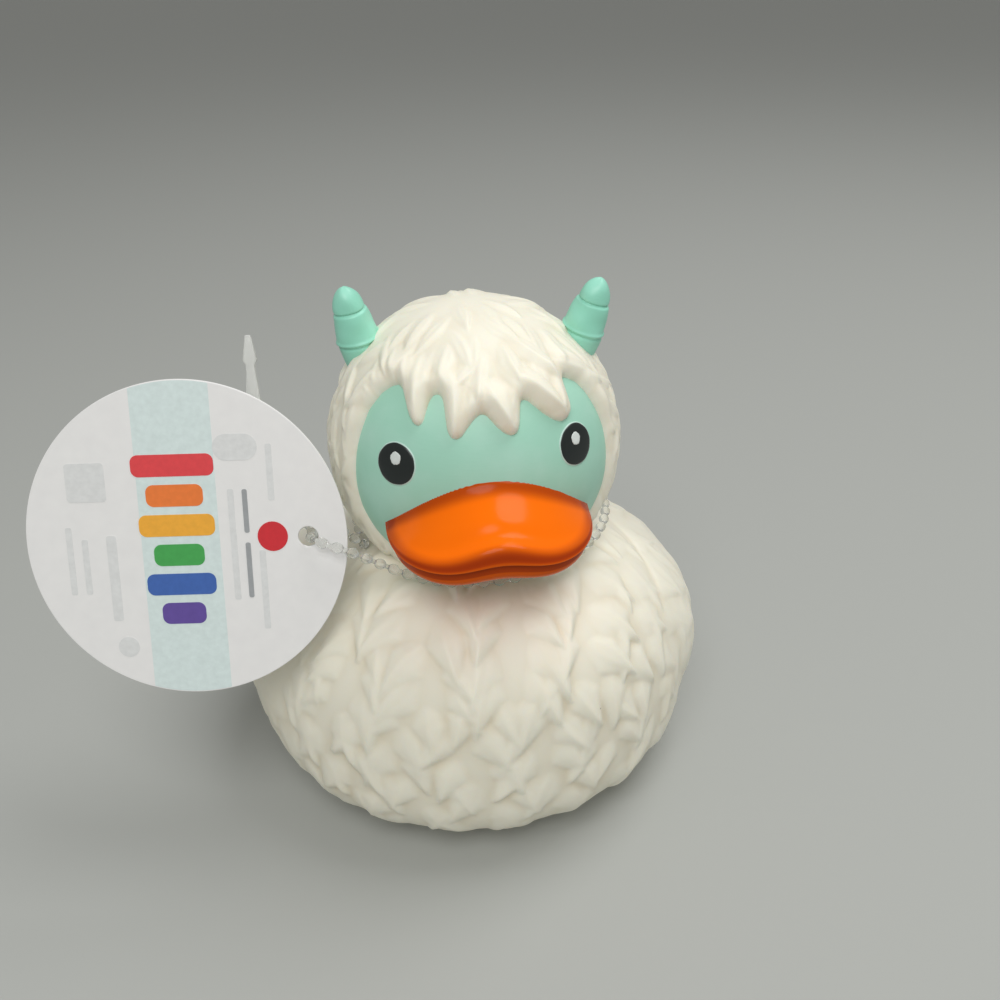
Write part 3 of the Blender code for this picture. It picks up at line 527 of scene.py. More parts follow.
eyes = {
    "longitude": 37.8, "latitude": 14.2, "tilt": 0.9, "halfWidth": 0.00355, "halfHeight": 0.0035,
    "relief": 0.00022, "rim": 0.00016, "rimRelief": 0.00012,
    "glintHalfWidth": 0.0010, "glintHalfHeight": 0.0011, "glintRise": 2.2, "glintRelief": 0.00030,
    "sunk": 0.0004, "around": 96, "rings": 14,
}


def paintedOval(name, side, latitude, halfWidth, halfHeight, relief, ragged, slot, paint):
    # A thin raised oval on the head's sphere, with a rounded rim and slightly uneven edge
    outward = towards(side * eyes["longitude"], latitude)
    place = Matrix.Translation(head["centre"]) @ outward.to_track_quat("Z", "Y").to_matrix().to_4x4()
    around, out = eyes["around"], eyes["rings"]
    work = bmesh.new()
    rings = []
    for r in range(1, out + 1):
        share = r / out
        ring = []
        for angle in ringAngles(around):
            uneven = 1.0 + ragged * (math.sin(5 * angle + side) + 0.6 * math.sin(11 * angle + 2.0)) * share
            x = halfWidth * share * uneven * math.cos(angle)
            y = halfHeight * share * uneven * math.sin(angle)
            lift = relief * math.sqrt(1.0 - share ** 12) - (eyes["sunk"] if r == out else 0.0)
            radius = head["radius"] + lift
            ring.append(work.verts.new((x, y, math.sqrt(radius ** 2 - x * x - y * y))))
        rings.append(ring)
    joinRings(work, rings)
    capRing(work, rings[0], work.verts.new((0, 0, head["radius"] + relief)))
    capRing(work, rings[-1], work.verts.new((0, 0, head["radius"] - 2 * eyes["sunk"])))
    return addPiece(fromBmesh(name, work, place), ["duck"], paint)


def makeEyes(black, white, rimPaint):
    width, height, rim = eyes["halfWidth"], eyes["halfHeight"], eyes["rim"]
    glint = (eyes["glintHalfWidth"], eyes["glintHalfHeight"], eyes["glintRelief"])
    layers = [
        ("_eye_rim", 0.0, width + rim, height + rim, eyes["rimRelief"], 0.004, "mint_paint", rimPaint),
        ("_eye", 0.0, width, height, eyes["relief"], 0.006, "black_paint", black),
        ("_glint", eyes["glintRise"], *glint, 0.035, "white_paint", white),
    ]
    for side, word in ((-1, "right"), (1, "left")):
        latitude = eyes["latitude"] + side * eyes["tilt"]
        for name, rise, *look in layers:
            paintedOval(word + name, side, latitude + rise, *look)


# Bill: an upper half with an arched lip over a thinner lower half

bill = {
    "halfWidth": 0.0163, "reach": 0.0100, "bluntness": 2.5, "rootShare": 0.65, "drop": 0.0065,
    "mouthArch": 0.0018, "rootRise": 0.0032, "rootFall": 0.0086, "rootArch": 1.9, "back": 0.0083,
    "leastRun": 0.0003, "lipRise": 0.0019, "lipHalfWidth": 0.0066, "lipSide": 0.0012, "edge": 0.0007,
    # the last value on the next line is the width of a painted highlight along the rim's bead
    "hollow": 0.0007, "bead": 0.00035, "rimBead": 0.012, "rimBeadWidth": 0.045, "highlightLine": 0.025,
    "fillet": 0.0005, "filletReach": 0.0006, "lowerDepth": 0.0047, "lowerSetback": 0.0009,
    # the next ranges set where the colour darkens at the root, the rim and the lip: partly paint tone,
    # partly painted shade
    "rootShadeAndTone": (0.0003, 0.0021), "rimPaint": (0.90, 0.985), "lipShadeAndTone": (0.92, 0.985),
    "rings": 150, "around": 288,
}
billRootY = head["centre"].y - head["radius"] * bill["rootShare"]
billLength = head["radius"] * (1.0 - bill["rootShare"]) + bill["reach"]


def billPlan(ball, setback):
    # Plan of the bill: a broad, blunt spoon that grows out of the face, laid over a ball's plan
    n = bill["bluntness"]
    around = np.hypot(ball[:, 0], ball[:, 1]) + 1e-9
    blunt = around / (np.abs(ball[:, 0]) ** n + np.abs(ball[:, 1]) ** n + 1e-9) ** (1.0 / n)
    x = ball[:, 0] * blunt * (bill["halfWidth"] - 0.4 * setback)
    share = ball[:, 1] * blunt
    return x, billRootY + share * np.where(share < 0, billLength - setback, bill["back"])


def mouthHeight(x, y):
    # The line where the two halves meet, arched at the front of its middle
    front = head["radius"] - head["centre"].y
    forward = ease(-y, front * 0.9, front + bill["reach"])
    arch = forward * hump(x, 0.0, bill["lipHalfWidth"])
    return head["centre"].z - bill["drop"] + bill["mouthArch"] * arch


def billTop(x, y):
    # From an arched root on the face down to the lip, a little hollow behind the lip's bead
    share = np.clip(np.abs(x) / bill["halfWidth"], 0.0, 1.0)
    rootRise = bill["rootRise"] - bill["rootFall"] * share ** bill["rootArch"]
    rootY = head["centre"].y - np.sqrt(np.clip(head["radius"] ** 2 - x ** 2 - rootRise ** 2, 0.0, None))
    n = bill["bluntness"]
    rimY = billRootY - billLength * np.maximum(1.0 - share ** n, 0.0) ** (1.0 / n)
    forward = np.clip((rootY - y) / np.maximum(rootY - rimY, bill["leastRun"]), 0.0, 1.0)
    middle = hump(x, 0.0, bill["lipHalfWidth"])
    lip = bill["lipSide"] + bill["lipRise"] * middle
    root = head["centre"].z + rootRise
    top = root + (mouthHeight(x, y) + lip - root) * forward ** 0.9
    inside = 1.0 - share ** 6
    top -= bill["hollow"] * (0.35 + 0.65 * middle) * hump(forward, 0.70, 0.13) * inside
    top += bill["bead"] * hump(forward, 0.93, 0.06) * inside
    return top, forward


def fineBall(name):
    bpy.ops.mesh.primitive_uv_sphere_add(segments=bill["around"], ring_count=bill["rings"], radius=1.0)
    obj = bpy.context.object
    obj.name = name
    return obj


def makeBill(orange):
    centre = np.array(head["centre"])
    upper = fineBall("upper_bill")
    ball = rows(upper.data)
    x, y = billPlan(ball, 0.0)
    mouth = mouthHeight(x, y)
    top, forward = billTop(x, y)
    crown = (1.0 - np.clip(1.0 - ball[:, 2] ** 2, 0.0, 1.0) ** 4) ** (1.0 / 2.6)
    points = np.stack([x, y, mouth + np.where(ball[:, 2] > 0, top - mouth, -bill["edge"]) * crown], axis=1)
    away = np.linalg.norm(points - centre, axis=1) - head["radius"]
    # the top meets the face in a small fillet
    fillet = bill["fillet"] * np.exp(-np.maximum(away, 0.0) / bill["filletReach"])
    points[:, 2] += np.where(ball[:, 2] > 0, fillet, 0.0)
    # a thin bead runs along the rim
    wider = 1.0 + bill["rimBead"] * hump(ball[:, 2], 0.0, bill["rimBeadWidth"])
    points[:, 0] *= wider
    points[:, 1] = billRootY + (points[:, 1] - billRootY) * wider
    moveRows(upper.data, points)
    # the colour is darker at the root, along the sides and on the lip's face, partly the paint's own deeper
    # tone and partly painted shade and reflection; the underside gets painted shade, and the rim's bead a
    # painted highlight line
    root = 1.0 - ease(away, *bill["rootShadeAndTone"])
    rim = ease(np.hypot(ball[:, 0], ball[:, 1]), *bill["rimPaint"])
    shadeAndTone = np.clip(0.8 * root + 0.6 * rim + 0.4 * ease(forward, *bill["lipShadeAndTone"]), 0.0, 1.0)
    # painted shade over the whole underside, and a painted highlight line along the rim's bead
    shadeAndTone = np.where(ball[:, 2] > 0, shadeAndTone, 0.9) * (1.0 - 0.6 * hump(ball[:, 2], 0.0, bill["highlightLine"]))
    setPointValue(upper.data, "shadeAndTone", shadeAndTone)
    addPiece(upper, ["duck"], orange)

    lower = fineBall("lower_bill")
    ball = rows(lower.data)
    x, y = billPlan(ball, bill["lowerSetback"])
    depth = bill["lowerDepth"] * (1.0 - 0.35 * (x / bill["halfWidth"]) ** 2)
    below = np.where(ball[:, 2] > 0, bill["edge"], depth) * np.sign(ball[:, 2]) * np.abs(ball[:, 2]) ** 0.5
    moveRows(lower.data, np.stack([x, y, mouthHeight(x, y) - bill["edge"] * 1.2 + below], axis=1))
    # painted shade over the lower half, darker near its top under the upper half's rim
    setPointValue(lower.data, "shadeAndTone", np.where(ball[:, 2] > -0.06, 0.9, 0.55))
    addPiece(lower, ["duck"], orange)


# Horns: turned, with a groove near the tip and a raised ring near the root

horn = {
    "length": 0.0122, "radius": 0.0035, "slim": 0.00258, "capPower": 0.62, "grooveFromTip": 0.0040,
    "ringFromTip": 0.0088, "groove": 0.00030, "root": 0.0030, "dents": 0.00005, "waves": 7,
    "spread": 48.5, "turn": 5.0, "forward": -4.0, "leanOut": 14.2, "leanAside": 3.2, "leanForward": 6.0,
    "around": 80, "steps": 150,
}


def hornRadius(height):
    # Radius at a height above the seat: a slight barrel, a raised ring, a groove and a bullet tip
    ring = horn["length"] - horn["ringFromTip"]
    groove = horn["length"] - horn["grooveFromTip"]
    if height < groove:
        climb = max((height - ring) / (groove - ring), 0.0)
        radius = horn["radius"] - (horn["radius"] - horn["slim"]) * 0.85 * climb ** 1.3
        radius -= 0.0002 * max(1.0 - height / ring, 0.0) ** 2
    else:
        share = min((height - groove) / horn["grooveFromTip"], 1.0)
        radius = horn["slim"] * (1.0 - share ** 2) ** horn["capPower"]
    radius += horn["groove"] * 0.7 * hump(height, ring, 0.00024)
    radius -= horn["groove"] * 0.8 * hump(height, ring - 0.00055, 0.00026)
    return radius - horn["groove"] * 1.1 * hump(height, groove, 0.00020)


def makeHorns(paint):
    rng = np.random.default_rng(5)
    for side, word in ((-1, "right"), (1, "left")):
        work = bmesh.new()
        rings = []
        waves = [
            (rng.integers(1, 5), rng.uniform(1.0, 7.0), rng.uniform(0, 6.3), rng.uniform(0, 6.3))
            for _ in range(horn["waves"])
        ]
        for s in range(horn["steps"]):
            climb = math.sin(math.pi / 2 * s / horn["steps"])
            height = (horn["length"] + horn["root"]) * climb - horn["root"]
            t = height / horn["length"]
            ring = []
            for angle in ringAngles(horn["around"]):
                dent = sum(math.sin(n * angle + p) * math.sin(f * t * 3 + q) for n, f, p, q in waves)
                radius = max(hornRadius(height) + horn["dents"] * dent * float(ease(t, 0.0, 0.3)), 0.00005)
                ring.append(work.verts.new((radius * math.cos(angle), radius * math.sin(angle), height)))
            rings.append(ring)
        joinRings(work, rings)
        capRing(work, rings[-1], work.verts.new((0, 0, horn["length"])))
        capRing(work, rings[0], work.verts.new((0, 0, -horn["root"])))
        seatTurn = turnBy(-horn["turn"], "Z") @ turnBy(horn["forward"], "X")
        seatTurn = seatTurn @ turnBy(side * horn["spread"], "Y")
        seat = head["centre"] + (seatTurn @ Vector((0, 0, 1))) * head["radius"]
        lean = turnBy(horn["leanForward"], "X") @ turnBy(side * horn["leanOut"] + horn["leanAside"], "Y")
        obj = fromBmesh(word + "_horn", work, Matrix.Translation(seat) @ lean)
        addPiece(obj, ["duck"], paint)


# Card tag with its print as thin fields of ink

tag = {
    "diameter": 0.0508, "thickness": 0.0005, "hole": 0.0032, "margin": 0.0062, "reach": 0.0069,
    "azimuth": 209.0, "fall": 12.3, "turn": -7.2, "lean": 18.8, "ink": 0.00003, "soft": 0.00012,
    "around": 256,
}
tie = {
    "bead": 0.00085, "fatBead": 0.00085, "string": 0.00036, "pitch": 0.0026,
    "tiltRise": 0.0028, "climb": 0.0001, "lowest": 0.95,
    "lockWidth": 0.0034, "lockHeight": 0.0046, "lockDepth": 0.0028,
    "lockAside": 0.0078, "lockRise": 0.0131, "lockBehind": 0.0034,
    "lockCorner": 0.0007, "lockSoft": 0.0003, "strapSoft": 0.0002,
    "strapLength": 0.0186, "strapWidth": 0.0029, "strapThickness": 0.0009, "strapTilt": 1.0,
    "neck": 0.0014, "arrowWidth": 0.0022, "arrowLength": 0.0046, "gap": 0.0004, "around": 16,
}


def loopRadius():
    fur = head["hood"] + hoodStrands["height"] * hoodStrands["tallest"]
    return head["radius"] + fur + tie["gap"] + tie["bead"]


def tagFrame():
    azimuth, fall = math.radians(tag["azimuth"]), math.radians(tag["fall"])
    away = Vector((math.cos(azimuth) * math.cos(fall), math.sin(azimuth) * math.cos(fall), -math.sin(fall)))
    hole = head["centre"] + away * (loopRadius() + tag["reach"])
    return Matrix.Translation(hole) @ turnBy(tag["turn"], "Z") @ turnBy(90.0 - tag["lean"], "X")


def makeTagCard(card):
    # A round card with a punched hole; both rims are a little rounded by the press
    work = bmesh.new()
    centreX = tag["margin"] - tag["diameter"] / 2
    around, soft = tag["around"], tag["soft"]
    edge = tag["thickness"] / 2
    profile = [(-soft, edge), (-0.3 * soft, edge - 0.3 * soft), (0.0, edge - soft)]
    profile += [(r, -z) for r, z in reversed(profile)]
    loops = []
    for radius, x, sign in ((tag["diameter"] / 2, centreX, 1.0), (tag["hole"] / 2, 0.0, -1.0)):
        stack = []
        for inset, z in profile:
            ring = []
            for angle in ringAngles(around):
                r = radius + sign * inset
                ring.append(work.verts.new((x + r * math.cos(angle), r * math.sin(angle), z)))
            stack.append(ring)
        loops.append(stack)
    outer, inner = loops
    for rings in (outer, inner, [outer[0], inner[0]], [outer[-1], inner[-1]]):
        joinRings(work, rings)
    obj = fromBmesh("swing_tag_card", work, tagFrame())
    return addPiece(obj, ["swing_tag"], card, smooth=False)


def roundedOutline(x, y, width, height, radius, steps=8):
    # Points round a rectangle with round corners, anticlockwise
    radius = min(radius, width / 2, height / 2)
    points = []
    for corner, (sx, sy) in enumerate(((1, 1), (-1, 1), (-1, -1), (1, -1))):
        for k in range(steps + 1):
            angle = math.pi / 2 * (corner + k / steps)
            points.append((
                x + sx * (width / 2 - radius) + radius * math.cos(angle),
                y + sy * (height / 2 - radius) + radius * math.sin(angle),
            ))
    return points


def inkFields(name, outlines, ink, front=True, lift=0.0):
    # Closed thin plates of ink on one face of the card
    work = bmesh.new()
    sign = 1.0 if front else -1.0
    low = sign * (tag["thickness"] / 2 + lift - 0.00002)
    high = sign * (tag["thickness"] / 2 + lift + tag["ink"])
    for outline in outlines:
        bottom = [work.verts.new((x, y, low)) for x, y in outline]
        top = [work.verts.new((x, y, high)) for x, y in outline]
        work.faces.new(top)
        work.faces.new(bottom)
        joinRings(work, [bottom, top])
    obj = fromBmesh(name, work, tagFrame())
    return addPiece(obj, ["swing_tag"], ink, smooth=False)


# The print's layout, in mm from the card's middle: x, y, width, height, corner radius
tagPrint = {
    "band": (-1.0, 12.4),  # middle and width of the pale band across the card
    "bars": [
        ("E5484D", (-1.4, 12.0, 13.0, 3.5, 1.2)),
        ("F2803A", (-1.4, 7.2, 9.0, 3.5, 1.2)),
        ("F6B13C", (-1.4, 2.4, 12.0, 3.5, 1.2)),
        ("48A955", (-1.4, -2.4, 8.0, 3.5, 1.2)),
        ("4269B4", (-1.4, -7.2, 11.0, 3.5, 1.2)),
        ("654F9F", (-1.4, -12.0, 7.0, 3.5, 1.2)),
    ],
    "dot": ("D62F38", (13.6, 0.2, 4.8, 4.8, 2.4)),
    "small": [(9.6, 4.4, 0.8, 7.0, 0.3), (9.6, -5.2, 0.8, 9.0, 0.3)],
    "through": [
        (-15.2, 9.6, 6.2, 6.2, 0.6), (-18.6, -3.0, 1.0, 11.0, 0.3), (-16.2, -4.0, 1.0, 9.0, 0.3),
        (-12.0, -6.0, 1.6, 14.0, 0.4), (7.4, -1.0, 1.0, 18.0, 0.3), (11.8, -8.5, 1.0, 13.0, 0.3),
        (13.8, 10.5, 1.0, 9.0, 0.3), (-10.8, -17.4, 3.4, 3.4, 1.7), (8.6, 14.6, 7.0, 4.2, 2.1),
    ],
}


def onCard(shape):
    middle = tag["margin"] - tag["diameter"] / 2
    x, y, width, height, radius = (value / 1000 for value in shape)
    return roundedOutline(middle + x, y, width, height, radius)


def bandOutline():
    # The pale band runs from edge to edge, so its ends follow the card's rim
    middle = tag["margin"] - tag["diameter"] / 2
    x, width = (value / 1000 for value in tagPrint["band"])
    reach = tag["diameter"] / 2 - 0.0002
    sides = [x - width / 2 + width * k / 24 for k in range(25)]
    top = [(middle + s, math.sqrt(reach ** 2 - s ** 2)) for s in reversed(sides)]
    return top + [(middle + s, -math.sqrt(reach ** 2 - s ** 2)) for s in sides]


def makeTagPrint(inkMaterial):
    inkFields("tag_band", [bandOutline()], inkMaterial("DCEAE8", "printed band"))
    inkFields(
        "tag_show_through", [onCard(shape) for shape in tagPrint["through"]],
        inkMaterial("E2E3E2", "print seen through the card"), lift=0.00001,
    )
    for k, (colour, shape) in enumerate(tagPrint["bars"]):
        ink = inkMaterial(colour, f"printed bar {k + 1}")
        inkFields(f"tag_bar_{k + 1}", [onCard(shape)], ink, lift=0.00004)
    colour, shape = tagPrint["dot"]
    inkFields("tag_dot", [onCard(shape)], inkMaterial(colour, "printed dot"), lift=0.00004)
    inkFields(
        "tag_small_bars", [onCard(shape) for shape in tagPrint["small"]],
        inkMaterial("A3A6A8", "printed grey"), lift=0.00004,
    )
    inkFields(
        "tag_back_print", [onCard(shape) for shape in tagPrint["through"]],
        inkMaterial("9A9DA1", "printed grey on the back"), front=False,
    )


# Beaded plastic loop with its lock head and spare strap

def insideShoulder(point, grown):
    along = point.y - float(bodyShift(point.z))
    depth = body["front"] if along < 0 else body["back"]
    across = math.hypot((point.x - body["centreX"]) / (body["halfWidth"] + grown), along / (depth + grown))
    lift = max(point.z - body["waist"], 0.0) / (body["shoulder"] + grown)
    return across ** body["shoulderPower"] + lift ** body["shoulderPower"] < 1.0


def loopPoint(angle, height):
    radius = math.sqrt(loopRadius() ** 2 - (height - head["centre"].z) ** 2)
    return Vector((radius * math.cos(angle), head["centre"].y + radius * math.sin(angle), height))


def neckPoint(degrees):
    # A point of the loop in the crease between head and shoulder; 0 is towards +X
    angle = math.radians(degrees)
    clear = bodyTufts["height"] * bodyTufts["tallest"] + tie["gap"] + tie["bead"]
    height = head["centre"].z - loopRadius() * tie["lowest"]
    while insideShoulder(loopPoint(angle, height), clear):
        height += tie["climb"]
    height += tie["tiltRise"] * (0.5 + 0.5 * math.cos(angle)) ** 2
    return loopPoint(angle, height)


def loopRoute():
    place = tagFrame()
    bead, margin = tie["bead"], tag["margin"]
    route = [neckPoint(angle) for angle in range(-125, 196, 20)]
    lock = Vector((-tie["lockAside"], tie["lockRise"], -tie["lockBehind"]))
    local = [
        (lock.x + 0.0035, lock.y - 0.0060, lock.z - 0.0035),
        tuple(lock),
        (lock.x + 0.0030, lock.y * 0.45, lock.z * 0.95),
        (0.0004, 0.0, -2 * bead),
        (0.0006, -0.0001, 1.2 * bead),
        (margin * 0.5, -0.0010, 2.4 * bead),
        (margin * 1.1, -0.0024, 2.4 * bead),
    ]
    return route + [place @ Vector(point) for point in local]


def closedCurve(points, perSpan):
    # Catmull-Rom curve through the points, as dense points and the length up to each
    dense = []
    for k in range(len(points)):
        p0, p1, p2, p3 = (points[(k + j) % len(points)] for j in (-1, 0, 1, 2))
        for m in range(perSpan):
            t = m / perSpan
            a = 2 * p1
            b = (p2 - p0) * t
            c = (2 * p0 - 5 * p1 + 4 * p2 - p3) * t * t
            d = (3 * p1 - p0 - 3 * p2 + p3) * t * t * t
            dense.append(0.5 * (a + b + c + d))
    dense.append(dense[0])
    lengths = [0.0]
    for before, after in zip(dense, dense[1:]):
        lengths.append(lengths[-1] + (after - before).length)
    return np.array([tuple(p) for p in dense]), np.array(lengths)


def beadRadius(along, pitch):
    # A round bead each pitch, with thin string between
    fromBead = (along - pitch / 2) % pitch
    fromBead = min(fromBead, pitch - fromBead)
    ball = math.sqrt(max(tie["fatBead"] ** 2 - (fromBead * 0.85) ** 2, 0.0))
    return (ball ** 4 + tie["string"] ** 4) ** 0.25


def makeTie(nylon):
    dense, lengths = closedCurve(loopRoute(), 24)
    total = lengths[-1]
    beads = round(total / tie["pitch"])
    pitch = total / beads
    steps = beads * 20
    along = np.arange(steps) * total / steps
    path = np.stack([np.interp(along, lengths, dense[:, j]) for j in range(3)], axis=1)
    tangents = unit(np.roll(path, -1, axis=0) - np.roll(path, 1, axis=0))
    middle = path.mean(axis=0)
    side = unit(np.cross(tangents, path - middle))
    over = np.cross(tangents, side)
    work = bmesh.new()
    rings = []
    for k in range(steps):
        radius = beadRadius(along[k], pitch)
        ring = []
        for angle in ringAngles(tie["around"]):
            outward = math.cos(angle) * side[k] + math.sin(angle) * over[k]
            ring.append(work.verts.new(path[k] + radius * outward))
        rings.append(ring)
    joinRings(work, rings + rings[:1])
    addPiece(fromBmesh("tag_loop", work), ["tag_tie"], nylon)


def lockPlace():
    place = Matrix.Translation((-tie["lockAside"], tie["lockRise"], -tie["lockBehind"]))
    return tagFrame() @ place @ turnBy(tie["strapTilt"], "Z")


def softBlock(name, outline, thickness, soft):
    # An upright slab from an outline, with rounded edges
    work = bmesh.new()
    face = work.faces.new([work.verts.new((x, y, -thickness / 2)) for x, y in outline])
    raised = bmesh.ops.extrude_face_region(work, geom=[face])["geom"]
    top = [part for part in raised if isinstance(part, bmesh.types.BMVert)]
    bmesh.ops.translate(work, verts=top, vec=(0, 0, thickness))
    obj = fromBmesh(name, work, lockPlace())
    edge = obj.modifiers.new("roundedEdges", "BEVEL")
    edge.width = soft
    edge.segments = 3
    edge.limit_method = "ANGLE"
    edge.angle_limit = math.radians(50)
    applyModifiers(obj)
    return obj


def makeLockAndStrap(nylon):
    outline = roundedOutline(0, 0, tie["lockWidth"], tie["lockHeight"], tie["lockCorner"])
    lock = softBlock("tie_lock", outline, tie["lockDepth"], tie["lockSoft"])
    addPiece(lock, ["tag_tie"], nylon)
    foot = tie["strapLength"] - tie["arrowLength"]
    half = [
        (tie["strapWidth"] / 2, 0.0), (tie["strapWidth"] / 2, tie["lockHeight"] * 1.1),
        (tie["neck"] / 2, foot - tie["arrowWidth"] * 0.4), (tie["neck"] / 2, foot),
        (tie["arrowWidth"] / 2, foot + tie["arrowWidth"] * 0.3),
        (tie["arrowWidth"] * 0.2, tie["strapLength"]),
    ]
    outline = half + [(-x, y) for x, y in reversed(half)]
    strap = softBlock("tie_spare_strap", outline, tie["strapThickness"], tie["strapSoft"])
    addPiece(strap, ["tag_tie"], nylon)


# Materials

vinylLook = {
    # groove: a warmer, darker colour painted as shade between the tufts, also used for the random patches
    # of tone
    "colour": "F4F0DF", "groove": "E4D9BF", "speck": "3A352C",
    "skin": 0.6, "patch": 9.0, "dust": 7.0,  # mm
}
mintLook = {
    "face": ("A8DCC6", "B6E2D0"), "horn": ("98E0C8", "A8E6D2"),
    "streak": 0.30, "streakWidth": 3.0, "patch": 6.0,  # mm
}
# the second colour is the darker orange: partly the paint's own deeper tone, partly painted shade
orangeLook = {"colour": "FF7204", "shadeAndTone": "A43708", "ripple": 1.6}  # ripple in mm
inkLook = {"patch": 0.9, "darkest": 0.90, "lightest": 1.10}  # patch in mm
cardLook = {"colour": "F4F3F1", "cloud": "EBEAE9", "patch": 2.5}  # patch in mm
nylonLook = {"colour": "F8F9F6", "flow": 1.2}  # flow in mm


def makeVinyl():
    # Ivory PVC, slush moulded: soft satin skin that lets a little light in, with painted shade that makes
    # it warmer and darker down between the tufts
    material, tree, shader, where = newMaterial("ivory slush-moulded vinyl", {
        "Roughness": 0.5, "IOR": 1.53, "Subsurface Weight": 0.2, "Subsurface Scale": 0.0015,
        "Subsurface Radius": (1.0, 0.8, 0.55),
    })
    # the groove attribute paints shade between the tufts; random patches of tone are mixed in below
    groove = addNode(tree, "Attribute", {"attribute_name": "groove"})
    patch = addNode(tree, "TexNoise", {"Scale": perSize(vinylLook["patch"]), "Detail": 3.0}, where)
    ends = {"From Min": 0.55, "From Max": 0.85, "To Max": 0.35}
    cloud = addNode(tree, "MapRange", ends, {"Value": patch.outputs["Fac"]})
    amount = addNode(
        tree, "Math", {"operation": "MULTIPLY_ADD", 1: 0.7, "use_clamp": True},
        {0: groove.outputs["Fac"], 2: cloud.outputs["Result"]},
    )
    colours = {6: toLinear(vinylLook["colour"]), 7: toLinear(vinylLook["groove"])}
    tint = addNode(tree, "Mix", {"data_type": "RGBA", **colours}, {0: amount.outputs["Value"]})
    # a few dust specks caught in the moulding, about 0.3 mm across
    dust = addNode(tree, "TexVoronoi", {"Scale": perSize(vinylLook["dust"])}, where)
    speck = addNode(tree, "Math", {"operation": "LESS_THAN", 1: 0.021}, {0: dust.outputs["Distance"]})
    colour = addNode(
        tree, "Mix", {"data_type": "RGBA", 7: toLinear(vinylLook["speck"])},
        {0: speck.outputs["Value"], 6: tint.outputs[2]},
    )
    # skin of the mould: fine unevenness each 0.6 mm, coarser than the real one so that it shows
    skin = addNode(tree, "TexNoise", {"Scale": perSize(vinylLook["skin"]), "Detail": 3.0}, where)
    bump = addNode(tree, "Bump", {"Strength": 0.25, "Distance": 0.00006}, {"Height": skin.outputs["Fac"]})
    join(tree, shader, {"Base Color": colour.outputs[2], "Normal": bump.outputs["Normal"]})
    return material


def makeMint(name, colours, streaky):
    # Mint paint, masked and sprayed: satin, with the faint drag lines of the mask
    material, tree, shader, where = newMaterial(name, {"Roughness": 0.42, "IOR": 1.5})
    patch = addNode(tree, "TexNoise", {"Scale": perSize(mintLook["patch"]), "Detail": 3.0}, where)
    amount = addNode(
        tree, "MapRange", {"From Min": 0.4, "From Max": 0.7, "To Max": 0.6}, {"Value": patch.outputs["Fac"]}
    )
    colours = {6: toLinear(colours[0]), 7: toLinear(colours[1])}
    colour = addNode(tree, "Mix", {"data_type": "RGBA", **colours}, {0: amount.outputs["Result"]})
    scales = [perSize(mintLook[key]) for key in ("streakWidth", "streakWidth", "streak")]
    drawn = addNode(tree, "Mapping", {"Scale": scales}, where)
    lines = addNode(tree, "TexNoise", {"Scale": 1.0, "Detail": 2.0}, {"Vector": drawn.outputs["Vector"]})
    bump = addNode(
        tree, "Bump", {"Strength": streaky, "Distance": 0.00004}, {"Height": lines.outputs["Fac"]}
    )
    join(tree, shader, {"Base Color": colour.outputs[2], "Normal": bump.outputs["Normal"]})
    return material


def makeOrange():
    # Orange gloss paint, sprayed: thick and shiny; darker along the root and on the lip's face, partly the
    # paint's own deeper tone and partly painted shade and reflection, with painted shade under the lip and
    # a painted highlight line along the rim's bead
    material, tree, shader, where = newMaterial("orange gloss paint", {
        "Roughness": 0.18, "IOR": 1.5, "Specular IOR Level": 0.12,
    })
    # this attribute darkens the orange, partly the paint's own deeper tone and partly painted shade and
    # reflection; it is lower on the rim's painted highlight line
    shadeAndTone = addNode(tree, "Attribute", {"attribute_name": "shadeAndTone"})
    colours = {6: toLinear(orangeLook["colour"]), 7: toLinear(orangeLook["shadeAndTone"])}
    colour = addNode(tree, "Mix", {"data_type": "RGBA", **colours}, {0: shadeAndTone.outputs["Fac"]})
    ripple = addNode(tree, "TexNoise", {"Scale": perSize(orangeLook["ripple"]), "Detail": 1.0}, where)
    bump = addNode(tree, "Bump", {"Strength": 0.15, "Distance": 0.00008}, {"Height": ripple.outputs["Fac"]})
    join(tree, shader, {"Base Color": colour.outputs[2], "Normal": bump.outputs["Normal"]})
    return material


def makeInk(colour, name, roughness=0.4):
    # Printed ink: even, with a slight mottle about 1 mm across
    material, tree, shader, where = newMaterial(name, {"Roughness": roughness, "IOR": 1.5})
    mottle = addNode(tree, "TexNoise", {"Scale": perSize(inkLook["patch"]), "Detail": 2.0}, where)
    ends = {"To Min": inkLook["darkest"], "To Max": inkLook["lightest"]}
    level = addNode(tree, "MapRange", ends, {"Value": mottle.outputs["Fac"]})
    tint = addNode(tree, "HueSaturation", {"Color": toLinear(colour)}, {"Value": level.outputs["Result"]})
    join(tree, shader, {"Base Color": tint.outputs["Color"]})
    return material


def makeCard():
    # Coated card: smooth and half glossy, with the faint cloudiness of paper fibre
    material, tree, shader, where = newMaterial("coated white card", {"Roughness": 0.36, "IOR": 1.5})
    cloud = addNode(tree, "TexNoise", {"Scale": perSize(cardLook["patch"]), "Detail": 4.0}, where)
    colours = {6: toLinear(cardLook["colour"]), 7: toLinear(cardLook["cloud"])}
    colour = addNode(tree, "Mix", {"data_type": "RGBA", **colours}, {0: cloud.outputs["Fac"]})
    join(tree, shader, {"Base Color": colour.outputs[2]})
    return material


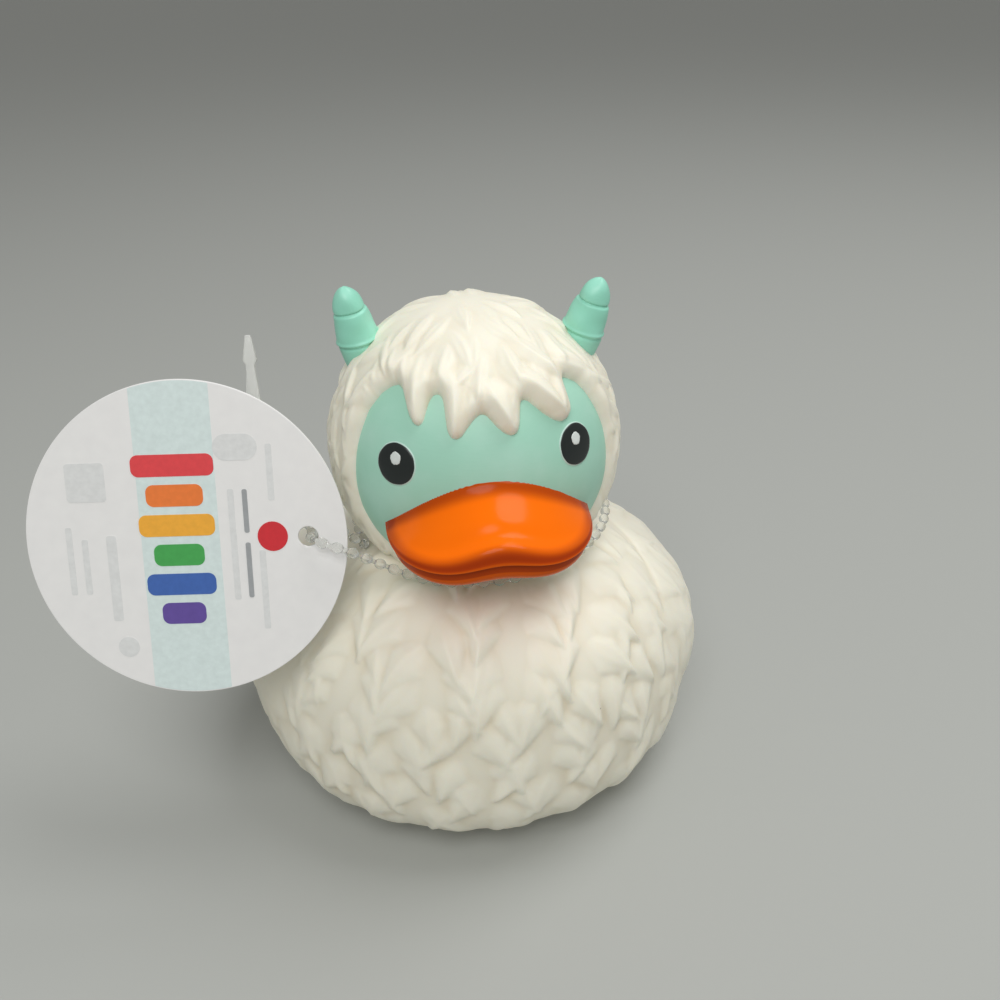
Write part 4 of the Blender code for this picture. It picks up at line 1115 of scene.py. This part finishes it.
def makeNylon(name, clear):
    # Clear nylon, injection moulded: lets what lies behind show through, with small bright edges. Its IOR
    # is set below the real 1.53, so that the beads stay as pale as in the photograph
    material, tree, shader, where = newMaterial(name, {
        "Base Color": toLinear(nylonLook["colour"]), "Roughness": 0.18, "IOR": 1.28,
        "Transmission Weight": clear,
    })
    flow = addNode(tree, "TexNoise", {"Scale": perSize(nylonLook["flow"]), "Detail": 2.0}, where)
    bump = addNode(tree, "Bump", {"Strength": 0.3, "Distance": 0.0001}, {"Height": flow.outputs["Fac"]})
    join(tree, shader, {"Normal": bump.outputs["Normal"]})
    return material


# Floor and light

studio = {
    "aim": (0.0, 0.0, 0.04), "floorSize": 16.0, "floor": "B0B2AE", "sky": "F4F4F1", "skyLevel": 0.38,
    "keyPower": 2.5, "keySize": 0.5, "keyPlace": (0.32, 0.05, 0.75), "fillPower": 3.1,
    "fillSize": 0.5, "fillPlace": (-0.12, -0.52, 0.70),
}


def addLamp(name, power, size, place):
    data = bpy.data.lights.new(name, "AREA")
    data.energy = power
    data.shape = "DISK"
    data.size = size
    aim = Vector(studio["aim"]) - Vector(place)
    newObject(name, data, Matrix.Translation(place) @ aim.to_track_quat("-Z", "Y").to_matrix().to_4x4())


def makeStudio():
    bpy.ops.mesh.primitive_plane_add(size=studio["floorSize"])
    floor = bpy.context.object
    floor.name = "floor"
    material, *_ = newMaterial("plain pale floor", {
        "Base Color": toLinear(studio["floor"]), "Roughness": 0.6, "Specular IOR Level": 0.3,
    })
    floor.data.materials.append(material)
    world = bpy.data.worlds.new("world")
    world.use_nodes = True
    background = world.node_tree.nodes["Background"]
    background.inputs["Color"].default_value = toLinear(studio["sky"])
    background.inputs["Strength"].default_value = studio["skyLevel"]
    bpy.context.scene.world = world
    addLamp("overhead softbox", studio["keyPower"], studio["keySize"], studio["keyPlace"])
    addLamp("front fill", studio["fillPower"], studio["fillSize"], studio["fillPlace"])
    bpy.context.scene.view_settings.view_transform = "Standard"


def main():
    makeCamera()
    vinyl = makeVinyl()
    makeBodyCoat(vinyl)
    print("body coat made")
    makeHood(vinyl)
    print("hood made")
    mint = makeMint("mint face paint", mintLook["face"], 0.3)
    makeFace(mint)
    makeEyes(makeInk("1B2221", "black printed paint", 0.34), makeInk("DDE3E0", "white printed paint", 0.4),
             makeInk("C4E0D6", "pale printed paint", 0.4))
    makeBill(makeOrange())
    makeHorns(makeMint("mint horn paint", mintLook["horn"], 0.15))
    print("face, eyes, bill and horns made")
    makeTagCard(makeCard())
    makeTagPrint(makeInk)
    print("card tag made")
    makeTie(makeNylon("clear moulded nylon", 0.86))
    makeLockAndStrap(makeNylon("milky moulded nylon", 0.5))
    print("tie made")
    makeStudio()


main()
